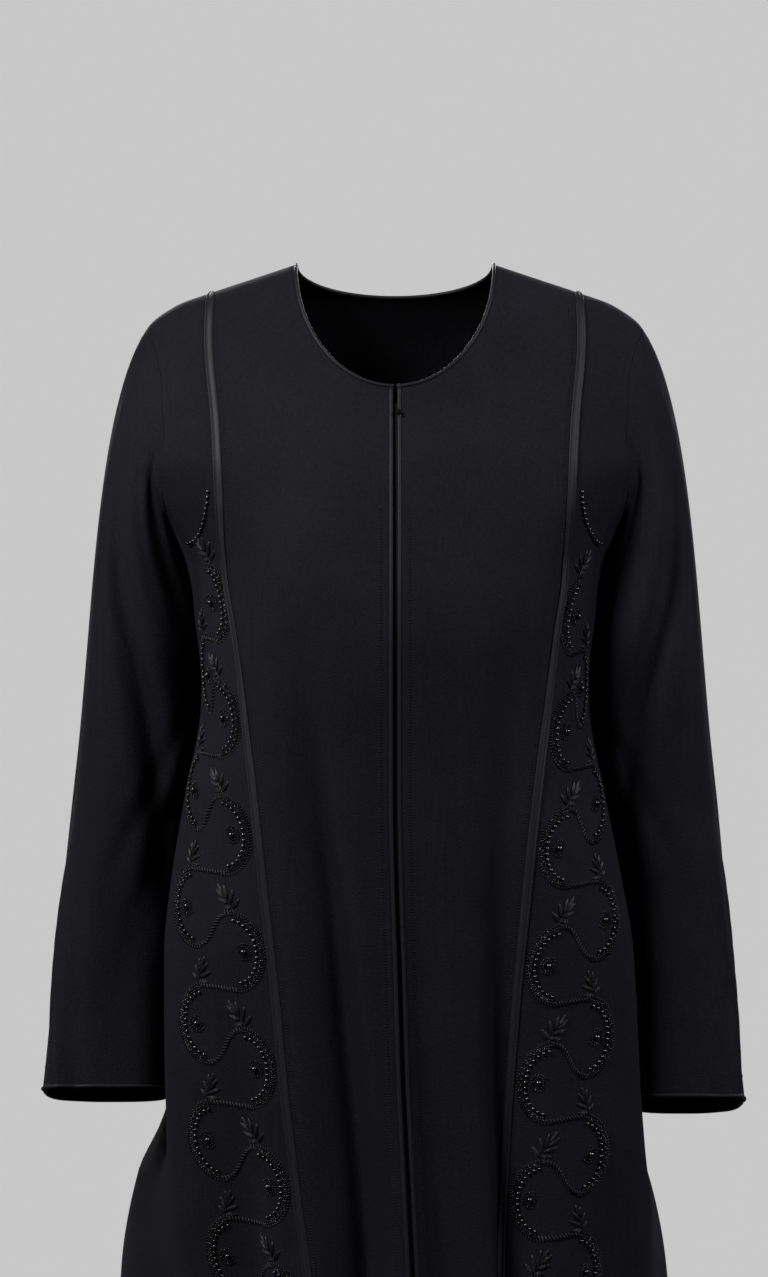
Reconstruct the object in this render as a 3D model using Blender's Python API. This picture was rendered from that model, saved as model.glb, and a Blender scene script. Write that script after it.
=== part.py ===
"""A black abaya: a long cloak that opens down the front, hollow and hanging as it is worn.

Sizes are in millimetres until a mesh is made. The origin lies between the shoulders, level with
the high point of the shoulder seams, and a drop is measured straight down from there. X runs to
the wearer's left, -Y to the front. An angle goes round a level section of the body, from 0 at
the centre front, through 90 at the left side seam, to 180 at the centre back. A sleeve's turn
goes round its tube, from 0 at the outer side, through 90 at the front, to 180 beside the body.
"""

import math
from bisect import bisect_right
from collections import namedtuple

import bmesh
import bpy
from mathutils import Vector

MM = 0.001

# Driving sizes of the garment
LENGTH = 1420.0  # from the high point of the shoulder to the hem
ARMPIT_DROP = 230.0
NECK_HALF_WIDTH = 77.0
FRONT_NECK_DROP = 98.0
BACK_NECK_DROP = 22.0
SHOULDER_END_DROP = 48.0
SEAM_TOP_DROP = 21.0  # where the panel seam meets the shoulder seam
BICEP_DROP = 300.0
CUFF_DROPS = {-1: 633.0, 1: 641.0}  # the wearer's right at -1, left at 1

# Cloth and trimmings
CLOTH = 1.5
SEAM_GAP = 0.3
FRONT_OPENING = 2.2  # between the two piped front edges
PIPING_RADIUS = 1.5
PIPING_SINK = 0.2  # of its middle below the outer face
CUFF_PIPING_RADIUS = 1.5
BAND_WIDTH = 7.0
BAND_THICKNESS = 1.0
BAND_CROWN = 0.4
PLACKET_REACH = 6.0  # under each front
PLACKET_THICKNESS = 1.0
PLACKET_DEPTH = 0.5  # behind the inner face of the fronts
SNAP_RADIUS = 2.3
SNAP_DROP = 118.0

# How finely each piece is divided
YOKE_ROWS = 12
SKIRT_ROWS = 16
NECK_COLUMNS = 6
SHOULDER_COLUMNS = 3
OUTER_COLUMNS = {"front": 9, "back": 6}
SLEEVE_ROWS = 13
CAP_STEPS = (0.0, 0.09, 0.2, 0.34, 0.5, 0.67, 0.84, 1.0)

# Level sections of the body, from the shoulder down to the hem
Section = namedtuple("Section", "drop half_front half_back front back squareness hollow sway")
SECTIONS = (
    Section(0, 77, 77, 20, 26, 2.0, 0, 0),
    Section(11, 110, 110, 28, 38, 2.0, 0, 0),
    Section(21, 140, 140, 34, 49, 2.0, 0, 0),
    Section(31, 167, 167, 40, 57, 2.0, 0, 0),
    Section(48, 189, 189, 48, 69, 2.0, 0, 0),
    Section(60, 194, 194, 54, 76, 2.05, 0, 0),
    Section(83, 205, 205, 65, 87, 2.1, 0, 0),
    Section(115, 212, 212, 80, 97, 2.1, 0, 0),
    Section(150, 212, 212, 96, 105, 2.1, 0, 0),
    Section(180, 194, 194, 106, 110, 2.15, 0, 0),
    Section(205, 174, 174, 113, 112, 2.2, 0, 0),
    Section(230, 158, 158, 119, 112, 2.3, 0, 0),
    Section(255, 152, 149, 124, 111, 2.35, 5, 0),
    Section(290, 149, 144, 127, 109, 2.4, 11, 0),
    Section(340, 153, 147, 127, 106, 2.45, 15, 0),
    Section(400, 166, 157, 126, 104, 2.5, 18, 0),
    Section(460, 178, 169, 126, 106, 2.6, 20, 1),
    Section(524, 188, 188, 127, 111, 2.65, 30, 3),
    Section(620, 190, 207, 130, 121, 2.65, 38, 6),
    Section(660, 190, 217, 132, 125, 2.65, 32, 8),
    Section(700, 190, 228, 134, 130, 2.6, 18, 10),
    Section(774, 187, 238, 138, 138, 2.5, 9, 13),
    Section(900, 194, 242, 146, 150, 2.4, 4, 12),
    Section(1100, 220, 256, 160, 168, 2.3, 3, 12),
    Section(1420, 254, 278, 182, 194, 2.2, 0, 12),
)
HOLLOW_ANGLE = 96.0  # where the arm lies against the side
HOLLOW_SPREAD = 15.0
BACK_BEGINS = 70.0
BACK_IS_FULL = 116.0
BACK_SWAY = 0.5  # share of the front's sway that the back has the other way
EDGE_ANGLE = 68.0  # the front edge of that hollow rolls outward
EDGE_SPREAD = 9.0
EDGE_ROLL = 0.22  # share of the hollow's depth

# The bust that the front hangs from
SIDE_ANGLE = 75.0  # the front presses the sleeve just under the armpit
SIDE_DROP = 272.0
SIDE_RISE = 7.0
SIDE_SPREAD = 8.0
SIDE_HEIGHT = 30.0
BUST_ANGLE = 36.0
BUST_DROP = 258.0
BUST_RISE = 6.0
BUST_SPREAD = 13.0
BUST_HEIGHT = 52.0

# The seam between centre front and side front, by its distance from the centre line
SeamPoint = namedtuple("SeamPoint", "drop half_width")
PANEL_SEAM = (
    SeamPoint(21, 140.0),
    SeamPoint(52, 141.0),
    SeamPoint(124, 134.6),
    SeamPoint(180, 130.8),
    SeamPoint(239, 126.2),
    SeamPoint(287, 118.0),
    SeamPoint(353, 110.0),
    SeamPoint(422, 102.0),
    SeamPoint(486, 96.0),
    SeamPoint(555, 90.0),
    SeamPoint(613, 86.0),
    SeamPoint(690, 80.0),
    SeamPoint(774, 73.0),
    SeamPoint(1000, 70.0),
    SeamPoint(1420, 70.0),
)
BACK_DIVISION = 51.0  # angle from the centre back at which the back's grid changes its spacing

# The armhole, by its distance in front of and behind the shoulder line
ArmholePoint = namedtuple("ArmholePoint", "share drop front back")
ARMHOLE = (
    ArmholePoint(0.0, 48, 0, 0),
    ArmholePoint(0.1, 60, 17, 22),
    ArmholePoint(0.22, 83, 34, 41),
    ArmholePoint(0.37, 115, 47, 55),
    ArmholePoint(0.53, 150, 56, 62),
    ArmholePoint(0.67, 180, 51, 57),
    ArmholePoint(0.8, 205, 36, 41),
    ArmholePoint(0.91, 222, 18, 21),
    ArmholePoint(1.0, 230, 0, 0),
)

# Folds of the skirt: troughs that start under the bust or the shoulder blades and widen downward
MID_DROP = 774.0
Fold = namedtuple("Fold", "start angle_start angle_mid angle_hem depth_mid depth_hem spread")
FOLDS = (
    Fold(250, -32, -15, -14, 18, 26, 5.2),
    Fold(440, 7, 10, 9, 10, 18, 4.2),
    Fold(235, 35, 30, 28, 18, 26, 5.0),
    Fold(520, -50, -47, -43, 9, 24, 6.5),
    Fold(600, 56, 54, 52, 4, 24, 7.5),
    Fold(800, -72, -72, -72, 0, 22, 7.5),
    Fold(820, 81, 81, 81, 0, 22, 8.0),
    Fold(640, -104, -103, -102, 5, 24, 8.0),
    Fold(690, 112, 111, 109, 4, 24, 8.0),
    Fold(380, -130, -130, -131, 9, 26, 7.5),
    Fold(420, 134, 136, 138, 8, 26, 7.5),
    Fold(300, -156, -158, -160, 10, 24, 7.0),
    Fold(340, 162, 165, 168, 9, 25, 7.0),
)
RIDGE_SHARE = 0.38  # how far the cloth stands out again beside a trough

# Level sections of a sleeve below the armhole
SleeveSection = namedtuple("SleeveSection", "drop outer half_width centre_y half_depth squareness tilt")
SLEEVE = (
    SleeveSection(300, 236.5, 46.5, 10, 67, 2.15, 0.0),
    SleeveSection(360, 242.0, 48.5, 15, 65, 2.2, 0.0),
    SleeveSection(420, 248.5, 46.0, 18, 64, 2.3, 0.02),
    SleeveSection(480, 254.5, 44.0, 18, 62, 2.5, 0.05),
    SleeveSection(540, 259.5, 43.5, 15, 62, 2.6, 0.1),
    SleeveSection(600, 264.0, 45.0, 10, 63, 2.8, 0.16),
    SleeveSection(645, 268.0, 47.0, 5, 62, 2.9, 0.21),
)
SLEEVE_NARROWING = {-1: 1.0, 1: 0.88}  # of the forearm, seen from the front
CAP_PULL = (20.0, 158.0)  # how strongly the sleeve leaves the armhole, at the armpit and the shoulder
BICEP_PULL = (70.0, 230.0)

# Folds of the sleeve, each a trough between two drops that slants round the tube
SleeveFold = namedtuple("SleeveFold", "start end turn_start turn_end depth spread")
SLEEVE_FOLDS = (
    SleeveFold(95, 520, 34, 138, 10.0, 7.5),
    SleeveFold(110, 330, 84, 138, 5.0, 9.0),
    SleeveFold(100, 400, -58, -110, 6.0, 10.0),
    SleeveFold(330, 560, 150, 100, 3.5, 10.0),
    SleeveFold(340, 600, -70, -92, 4.0, 12.0),
)

# Colours are the cloth's and the satin's, in linear light
CREPE = ("black crepe", (0.0105, 0.0108, 0.0128), 0.82)
SATIN = ("black satin", (0.022, 0.022, 0.027), 0.42)
BEAD = ("black glass bead", (0.02, 0.02, 0.022), 0.12)


def slope_at(knots, values, index):
    """The slope that keeps a curve through the knots from overshooting."""
    last = len(knots) - 1
    if index == 0:
        return (values[1] - values[0]) / (knots[1] - knots[0])
    if index == last:
        return (values[last] - values[last - 1]) / (knots[last] - knots[last - 1])
    before = (values[index] - values[index - 1]) / (knots[index] - knots[index - 1])
    after = (values[index + 1] - values[index]) / (knots[index + 1] - knots[index])
    if before * after <= 0:
        return 0.0
    return 2 * before * after / (before + after)


def hermite(start, pull_start, end, pull_end, u):
    """A cubic from start to end that leaves and arrives along the two pulls."""
    u2, u3 = u * u, u * u * u
    towards_end = 3 * u2 - 2 * u3
    return (
        start * (1 - towards_end)
        + pull_start * (u3 - 2 * u2 + u)
        + end * towards_end
        + pull_end * (u3 - u2)
    )


def smooth(knots, values, place):
    """The value at a place on a smooth curve through the knots."""
    if place <= knots[0]:
        return values[0]
    if place >= knots[-1]:
        return values[-1]
    i = bisect_right(knots, place) - 1
    width = knots[i + 1] - knots[i]
    return hermite(
        values[i],
        slope_at(knots, values, i) * width,
        values[i + 1],
        slope_at(knots, values, i + 1) * width,
        (place - knots[i]) / width,
    )


def read(rows, name, place):
    """One column of a table at a place between its rows; the first column is the place."""
    return smooth([row[0] for row in rows], [getattr(row, name) for row in rows], place)


def ease(u):
    """A step from 0 to 1 with soft ends."""
    u = min(max(u, 0.0), 1.0)
    return u * u * (3 - 2 * u)


def bump(distance, spread):
    """A soft bump of height 1."""
    return math.exp(-0.5 * (distance / spread) ** 2)


def mix(a, b, share):
    return a + (b - a) * share


def turn_between(a, b):
    """The signed angle from b to a, the short way round."""
    return (a - b + 180) % 360 - 180


def fold_depth(fold, drop):
    if drop <= fold.start:
        return 0.0
    if fold.start < MID_DROP:
        return smooth((fold.start, MID_DROP, LENGTH), (0.0, fold.depth_mid, fold.depth_hem), drop)
    return fold.depth_hem * (drop - fold.start) / (LENGTH - fold.start)


def fold_angle(fold, drop):
    if fold.start < MID_DROP:
        return smooth(
            (fold.start, MID_DROP, LENGTH), (fold.angle_start, fold.angle_mid, fold.angle_hem), drop
        )
    return mix(fold.angle_start, fold.angle_hem, ease((drop - fold.start) / (LENGTH - fold.start)))


def trough(distance, spread):
    """A fold's section: a trough of depth 1 with a low ridge on each side."""
    u = distance / spread
    return (math.exp(-0.5 * u * u) - RIDGE_SHARE * math.exp(-0.125 * u * u)) / (1 - RIDGE_SHARE)


def skirt_folds(angle, drop):
    total = 0.0
    for fold in FOLDS:
        depth = fold_depth(fold, drop)
        if depth > 0:
            total += depth * trough(turn_between(angle, fold_angle(fold, drop)), fold.spread)
    return total


def body(angle, drop):
    """A point on the outer face of the worn garment."""
    a = math.radians(angle)
    away = abs(turn_between(angle, 0))
    backward = ease((away - BACK_BEGINS) / (BACK_IS_FULL - BACK_BEGINS))
    half = mix(read(SECTIONS, "half_front", drop), read(SECTIONS, "half_back", drop), backward)
    depth = read(SECTIONS, "front" if away < 90 else "back", drop)
    power = read(SECTIONS, "squareness", drop)
    reach = (abs(math.sin(a)) / half) ** power + (abs(math.cos(a)) / depth) ** power
    radius = reach ** (-1 / power)
    hollow = read(SECTIONS, "hollow", drop)
    radius -= hollow * bump(away - HOLLOW_ANGLE, HOLLOW_SPREAD)
    radius += hollow * EDGE_ROLL * bump(away - EDGE_ANGLE, EDGE_SPREAD)
    radius += BUST_RISE * bump(away - BUST_ANGLE, BUST_SPREAD) * bump(drop - BUST_DROP, BUST_HEIGHT)
    radius += SIDE_RISE * bump(away - SIDE_ANGLE, SIDE_SPREAD) * bump(drop - SIDE_DROP, SIDE_HEIGHT)
    radius -= skirt_folds(angle, drop)
    sway = read(SECTIONS, "sway", drop) * (1 - (1 + BACK_SWAY) * backward)
    return Vector((radius * math.sin(a) + sway, -radius * math.cos(a), -drop))


def body_normal(angle, drop):
    """The outward direction of the cloth there."""
    across = body(angle + 0.4, drop) - body(angle - 0.4, drop)
    down = body(angle, drop + 1.0) - body(angle, max(drop - 1.0, 0.0))
    return down.cross(across).normalized()


def section_lean(x, drop, face):
    """How far round from the centre line the plain section reaches this x, in degrees."""
    half = read(SECTIONS, "half_front", drop)
    if x >= half:
        return 90.0
    power = read(SECTIONS, "squareness", drop)
    y = read(SECTIONS, face, drop) * (1 - (x / half) ** power) ** (1 / power)
    return math.degrees(math.atan2(x, y))


def armhole_lean(share, face):
    """Lean and drop of the armhole's edge, from the shoulder at 0 to the armpit at 1."""
    drop = read(ARMHOLE, "drop", share)
    y = read(ARMHOLE, face, share)
    half = read(SECTIONS, "half_front", drop)
    power = read(SECTIONS, "squareness", drop)
    x = half * (1 - (y / read(SECTIONS, face, drop)) ** power) ** (1 / power)
    return math.degrees(math.atan2(x, y)), drop


def division_lean(drop, face):
    """Where a face is divided: the panel seam in front, a plain grid line at the back."""
    if face == "front":
        return section_lean(read(PANEL_SEAM, "half_width", drop), drop, face)
    return BACK_DIVISION


def division_x(drop, face):
    """The same line while it is in the yoke, by its distance from the centre line."""
    if face == "front":
        return read(PANEL_SEAM, "half_width", drop)
    half = read(SECTIONS, "half_front", SEAM_TOP_DROP)
    reach = body(180 - BACK_DIVISION, ARMPIT_DROP).x
    return mix(half, reach, (drop - SEAM_TOP_DROP) / (ARMPIT_DROP - SEAM_TOP_DROP))


def centre_x(face):
    """Half the front opening with its piping, or the centre back."""
    return FRONT_OPENING / 2 + 2 * PIPING_RADIUS + SEAM_GAP if face == "front" else 0.0


def neck_edge(share, face):
    """The neckline from the centre at 0 to the shoulder at 1, as x and drop."""
    around = math.radians(90 * (1 - share))
    neck_drop = FRONT_NECK_DROP if face == "front" else BACK_NECK_DROP
    start = math.acos(centre_x(face) / NECK_HALF_WIDTH)
    around *= start / math.radians(90)
    return NECK_HALF_WIDTH * math.cos(around), neck_drop * math.sin(around)


def patch(left, right, top, bottom, across, down):
    """A point inside four edges that meet at their ends."""
    edges = [
        (1 - across) * left(down)[i]
        + across * right(down)[i]
        + (1 - down) * top(across)[i]
        + down * bottom(across)[i]
        for i in (0, 1)
    ]
    corners = [
        (1 - down) * ((1 - across) * top(0)[i] + across * top(1)[i])
        + down * ((1 - across) * bottom(0)[i] + across * bottom(1)[i])
        for i in (0, 1)
    ]
    return edges[0] - corners[0], edges[1] - corners[1]


def division_drop(down):
    """Rows are closer together where the cloth rolls over the shoulder."""
    return mix(SEAM_TOP_DROP, ARMPIT_DROP, down**1.3)


def centre_yoke(face):
    """Rows of lean and drop from the neck and inner shoulder to the armpit, inside the division."""
    columns = NECK_COLUMNS + SHOULDER_COLUMNS
    corner = NECK_COLUMNS / columns
    edge_lean = section_lean(centre_x(face), ARMPIT_DROP, face)
    neck_drop = neck_edge(0, face)[1]

    def top(across):
        if across <= corner:
            return neck_edge(across / corner, face)
        drop = SEAM_TOP_DROP * (across - corner) / (1 - corner)
        return read(SECTIONS, "half_front", drop), drop

    def bottom(across):
        lean = mix(edge_lean, division_lean(ARMPIT_DROP, face), across)
        angle = lean if face == "front" else 180 - lean
        return body(angle, ARMPIT_DROP).x, ARMPIT_DROP

    def left(down):
        return centre_x(face), mix(neck_drop, ARMPIT_DROP, down)

    def right(down):
        drop = division_drop(down)
        return division_x(drop, face), drop

    rows = []
    for i in range(YOKE_ROWS + 1):
        row = []
        for j in range(columns + 1):
            x, drop = patch(left, right, top, bottom, j / columns, i / YOKE_ROWS)
            if i == YOKE_ROWS:
                lean = mix(edge_lean, division_lean(ARMPIT_DROP, face), j / columns)
            else:
                lean = section_lean(x, drop, face)
            row.append((lean, drop))
        rows.append(row)
    return rows


def outer_yoke(face):
    """Rows of lean and drop from the outer shoulder to the armpit, outside the division."""

    def top(across):
        return 90.0, mix(SEAM_TOP_DROP, SHOULDER_END_DROP, across)

    def bottom(across):
        return mix(division_lean(ARMPIT_DROP, face), 90.0, across), ARMPIT_DROP

    def left(down):
        drop = division_drop(down)
        if down == 1:
            return division_lean(ARMPIT_DROP, face), drop
        return section_lean(division_x(drop, face), drop, face), drop

    def right(down):
        return armhole_lean(down, face)

    columns = OUTER_COLUMNS[face]
    return [
        [patch(left, right, top, bottom, j / columns, i / YOKE_ROWS) for j in range(columns + 1)]
        for i in range(YOKE_ROWS + 1)
    ]


def skirt_drops():
    return [mix(ARMPIT_DROP, LENGTH, i / SKIRT_ROWS) for i in range(1, SKIRT_ROWS + 1)]


def centre_rows(face):
    columns = NECK_COLUMNS + SHOULDER_COLUMNS
    rows = centre_yoke(face)
    for drop in skirt_drops():
        inner = section_lean(centre_x(face), drop, face)
        outer = division_lean(drop, face)
        rows.append([(mix(inner, outer, j / columns), drop) for j in range(columns + 1)])
    return rows


def outer_rows(face):
    columns = OUTER_COLUMNS[face]
    rows = outer_yoke(face)
    for drop in skirt_drops():
        inner = division_lean(drop, face)
        rows.append([(mix(inner, 90.0, j / columns), drop) for j in range(columns + 1)])
    return rows


def sheet_of(rows, face, side):
    """Points and outward directions of a panel, for the wearer's left at 1 or right at -1."""
    points, normals = [], []
    for row in rows:
        angles = [side * (lean if face == "front" else 180 - lean) for lean, drop in row]
        drops = [drop for lean, drop in row]
        points.append([body(a, d) for a, d in zip(angles, drops)])
        normals.append([body_normal(a, d) for a, d in zip(angles, drops)])
    return points, normals


def moved(point, towards, distance):
    return point + (towards - point).normalized() * distance


def part_edges(points, seams):
    """Draws the named edges of a panel in by half the gap between seamed pieces."""
    half = SEAM_GAP / 2
    original = [list(row) for row in points]
    last_row, last_column = len(points) - 1, len(points[0]) - 1
    for i, row in enumerate(original):
        if "inner" in seams:
            points[i][0] = moved(points[i][0], row[1], half)
        if "outer" in seams:
            points[i][last_column] = moved(points[i][last_column], row[last_column - 1], half)
    for j in range(last_column + 1):
        if "top" in seams and j >= seams["top"]:
            points[0][j] = moved(points[0][j], original[1][j], half)
        if "bottom" in seams:
            points[last_row][j] = moved(points[last_row][j], original[last_row - 1][j], half)


def material(finish):
    name, colour, roughness = finish
    found = bpy.data.materials.get(name)
    if found:
        return found
    made = bpy.data.materials.new(name)
    made.use_nodes = True
    shader = made.node_tree.nodes["Principled BSDF"]
    shader.inputs["Base Color"].default_value = (*colour, 1)
    shader.inputs["Roughness"].default_value = roughness
    made.diffuse_color = (*colour, 1)
    return made


def add_object(name, data, finish, collection):
    data.materials.append(material(finish))
    made = bpy.data.objects.new(name, data)
    collection.objects.link(made)
    return made


def add_mesh(name, vertices, faces, finish, collection):
    mesh = bpy.data.meshes.new(name)
    mesh.from_pydata([v * MM for v in vertices], [], faces)
    work = bmesh.new()
    work.from_mesh(mesh)
    bmesh.ops.recalc_face_normals(work, faces=work.faces)
    work.to_mesh(mesh)
    work.free()
    mesh.shade_smooth()
    mesh.set_sharp_from_angle(angle=math.radians(40))
    return add_object(name, mesh, finish, collection)


def strip_faces(lower, upper, closed):
    """Triangles between two rows of vertex numbers, all split along the same diagonal."""
    count = len(lower) if closed else len(lower) - 1
    faces = []
    for j in range(count):
        k = (j + 1) % len(lower)
        faces.append((lower[j], lower[k], upper[k]))
        faces.append((lower[j], upper[k], upper[j]))
    return faces


def add_wall(name, points, normals, thickness, finish, collection, tube=False):
    """A cloth wall: the outer face through the points, and an inner face behind it."""
    rows, columns = len(points), len(points[0])
    vertices = [p for row in points for p in row]
    for point_row, normal_row in zip(points, normals):
        vertices += [p - n * thickness for p, n in zip(point_row, normal_row)]
    outer = [[i * columns + j for j in range(columns)] for i in range(rows)]
    inner = [[rows * columns + n for n in row] for row in outer]
    faces = []
    for i in range(rows - 1):
        faces += strip_faces(outer[i], outer[i + 1], tube)
        faces += strip_faces(inner[i], inner[i + 1], tube)
    faces += strip_faces(inner[0], outer[0], tube)
    faces += strip_faces(outer[-1], inner[-1], tube)
    if not tube:
        for edge in (0, -1):
            faces += strip_faces([row[edge] for row in outer], [row[edge] for row in inner], False)
    return add_mesh(name, vertices, faces, finish, collection)


def add_piping(name, path, radius, finish, collection, closed=False):
    """A round cord of satin along a path."""
    curve = bpy.data.curves.new(name, "CURVE")
    curve.dimensions = "3D"
    curve.bevel_depth = radius * MM
    curve.bevel_resolution = 1
    curve.use_fill_caps = not closed
    spline = curve.splines.new("POLY")
    spline.points.add(len(path) - 1)
    for point, place in zip(spline.points, path):
        point.co = (*(place * MM), 1)
    spline.use_cyclic_u = closed
    return add_object(name, curve, finish, collection)


def add_column(points, normals, at, towards, distance):
    """Puts a column of points beside an edge column, where the edge of a band will lie."""
    for point_row, normal_row in zip(points, normals):
        point, neighbour = point_row[at], point_row[towards]
        share = distance / (neighbour - point).length
        place = max(at, towards) if at >= 0 else len(point_row) - 1
        point_row.insert(place, point.lerp(neighbour, share))
        normal_row.insert(place, normal_row[at].lerp(normal_row[towards], share).normalized())


def front_panels(side, word, collection):
    """Centre front and side front of one side, with the edges that the trimmings follow."""
    points, normals = sheet_of(centre_rows("front"), "front", side)
    add_column(points, normals, -1, -2, BAND_WIDTH / 2)
    add_column(points, normals, 0, 1, PLACKET_REACH)
    under = [list(zip(row, directions))[:2] for row, directions in zip(points, normals)]
    edge, edge_normals = [row[0] for row in points], [row[0] for row in normals]
    edge_next = [row[1] for row in points]
    band = [row[-2:] for row in points]
    band_normals = [row[-2:] for row in normals]
    neck = list(zip(points[0][: NECK_COLUMNS + 2], normals[0], points[1]))
    part_edges(points, {"outer": True, "top": NECK_COLUMNS + 1})
    add_wall("front_" + word, points, normals, CLOTH, CREPE, collection)
    points, normals = sheet_of(outer_rows("front"), "front", side)
    add_column(points, normals, 0, 1, BAND_WIDTH / 2)
    band = [row + [other[1]] for row, other in zip(band, points)]
    band_normals = [row + [other[1]] for row, other in zip(band_normals, normals)]
    part_edges(points, {"inner": True, "outer": True, "top": 0})
    add_wall("side_front_" + word, points, normals, CLOTH, CREPE, collection)
    add_band("seam_band_" + word, band, band_normals, collection)
    return edge, edge_normals, edge_next, neck, under


def back_panel(collection):
    """The back, cut in one piece from armhole to armhole."""
    points, normals = None, None
    for side in (-1, 1):
        centre_points, centre_normals = sheet_of(centre_rows("back"), "back", side)
        outer_points, outer_normals = sheet_of(outer_rows("back"), "back", side)
        half_points = [c[:-1] + o for c, o in zip(centre_points, outer_points)]
        half_normals = [c[:-1] + o for c, o in zip(centre_normals, outer_normals)]
        if side == -1:
            points = [row[::-1] for row in half_points]
            normals = [row[::-1] for row in half_normals]
        else:
            points = [row[:-1] + half for row, half in zip(points, half_points)]
            normals = [row[:-1] + half for row, half in zip(normals, half_normals)]
    middle = len(points[0]) // 2
    neck = [
        (points[0][j], normals[0][j], points[1][j])
        for j in range(middle - NECK_COLUMNS, middle + NECK_COLUMNS + 1)
    ]
    top = list(points[0])
    part_edges(points, {"inner": True, "outer": True, "top": 0})
    points[0][middle - NECK_COLUMNS + 1 : middle + NECK_COLUMNS] = top[
        middle - NECK_COLUMNS + 1 : middle + NECK_COLUMNS
    ]
    add_wall("back", points, normals, CLOTH, CREPE, collection)
    return neck


def add_band(name, rows, normals, collection):
    """A flat satin band that covers a seam, a little above the two panels."""
    lifts = [SEAM_GAP + BAND_THICKNESS + crown for crown in (0.0, BAND_CROWN, 0.0)]
    points = [
        [point + normal * lift for point, normal, lift in zip(row, directions, lifts)]
        for row, directions in zip(rows, normals)
    ]
    points[0] = [moved(a, b, SEAM_GAP / 2) for a, b in zip(points[0], points[1])]
    add_wall(name, points, normals, BAND_THICKNESS, SATIN, collection)


def beside(edge, normals, inside, distance, closed=False):
    """A line outside an edge of a panel, for the middle of a piping."""
    line = []
    last = len(edge) - 1
    for i, (point, normal) in enumerate(zip(edge, normals)):
        before = edge[i - 1] if closed or i > 0 else point
        after = edge[(i + 1) % len(edge)] if closed or i < last else point
        out = (after - before).cross(normal).normalized()
        if out.dot(inside[i] - point) > 0:
            out = -out
        line.append(point + out * distance - normal * PIPING_SINK)
    return line


def add_edge_piping(word, edge, edge_normals, edge_next, collection):
    """Piping along one front edge; it stops under the neck piping."""
    path = beside(edge, edge_normals, edge_next, SEAM_GAP + PIPING_RADIUS)
    path[0] = moved(path[0], path[1], SEAM_GAP)
    return add_piping("edge_piping_" + word, path, PIPING_RADIUS, SATIN, collection)


def add_neck_piping(necks, collection):
    """Piping round the neck, from one front edge to the other."""
    edge, normals, inside = zip(*necks)
    path = beside(edge, normals, inside, SEAM_GAP + PIPING_RADIUS)
    first, last = path[0].copy(), path[-1].copy()
    first.x, last.x = -FRONT_OPENING / 2, FRONT_OPENING / 2
    return add_piping("neck_piping", [first, *path, last], PIPING_RADIUS, SATIN, collection)


def add_placket(under, collection):
    """The underlap that closes the front behind the piped edges."""
    points, normals = [], []
    for right, left in list(zip(under["right"], under["left"]))[1:]:
        row = right[::-1] + left
        points.append([point - normal * (CLOTH + PLACKET_DEPTH) for point, normal in row])
        normals.append([normal for point, normal in row])
    return add_wall("placket", points, normals, PLACKET_THICKNESS, CREPE, collection)


def add_snap(collection):
    """The small round fastener at the top of the opening, on the wearer's left edge."""
    angle = section_lean(FRONT_OPENING / 2 + PIPING_RADIUS, SNAP_DROP, "front")
    lift = PIPING_RADIUS - PIPING_SINK + SEAM_GAP + SNAP_RADIUS * 0.6
    place = body(angle, SNAP_DROP) + body_normal(angle, SNAP_DROP) * lift
    mesh = bpy.data.meshes.new("snap")
    work = bmesh.new()
    bmesh.ops.create_uvsphere(work, u_segments=12, v_segments=8, radius=SNAP_RADIUS * MM)
    bmesh.ops.scale(work, vec=(1, 0.6, 1), verts=work.verts)
    work.to_mesh(mesh)
    work.free()
    mesh.shade_smooth()
    made = add_object("snap", mesh, BEAD, collection)
    made.location = place * MM
    return made


def armhole_ring(side):
    """Points, normals and leaving directions of the sleeve round the armhole, by its turn."""
    count = 2 * YOKE_ROWS
    ring = []
    for k in range(count):
        face = "front" if k <= YOKE_ROWS else "back"
        share = k / YOKE_ROWS if k <= YOKE_ROWS else (count - k) / YOKE_ROWS
        lean, drop = armhole_lean(share, face)
        angle = side * (lean if face == "front" else 180 - lean)
        ring.append((body(angle, drop), body_normal(angle, drop)))
    leaving = []
    for k, (point, normal) in enumerate(ring):
        along = ring[(k + 1) % count][0] - ring[k - 1][0]
        out = along.cross(normal).normalized()
        leaving.append(out if out.x * side > 0 else -out)
    return [p for p, n in ring], [n for p, n in ring], leaving


def sleeve_section(turn, drop, side):
    """A point on the plain sleeve below the armhole."""
    t = math.radians(turn)
    narrowing = mix(1.0, SLEEVE_NARROWING[side], ease((drop - 400) / 150))
    half_width = read(SLEEVE, "half_width", drop) * narrowing
    half_depth = read(SLEEVE, "half_depth", drop) / math.sqrt(narrowing)
    power = read(SLEEVE, "squareness", drop)
    reach = (abs(math.cos(t)) / half_width) ** power + (abs(math.sin(t)) / half_depth) ** power
    radius = reach ** (-1 / power)
    centre_x_here = read(SLEEVE, "outer", drop) - half_width * (1 + 1 / narrowing) / 2
    forward = radius * math.sin(t)
    lift = read(SLEEVE, "tilt", drop) * forward
    return Vector(
        (
            side * (centre_x_here + radius * math.cos(t)),
            read(SLEEVE, "centre_y", drop) - forward,
            lift - drop,
        )
    )


def pull_strength(pulls, turn):
    shoulder_share = (1 + math.cos(math.radians(turn))) / 2
    return mix(pulls[0], pulls[1], shoulder_share**1.4)


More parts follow.
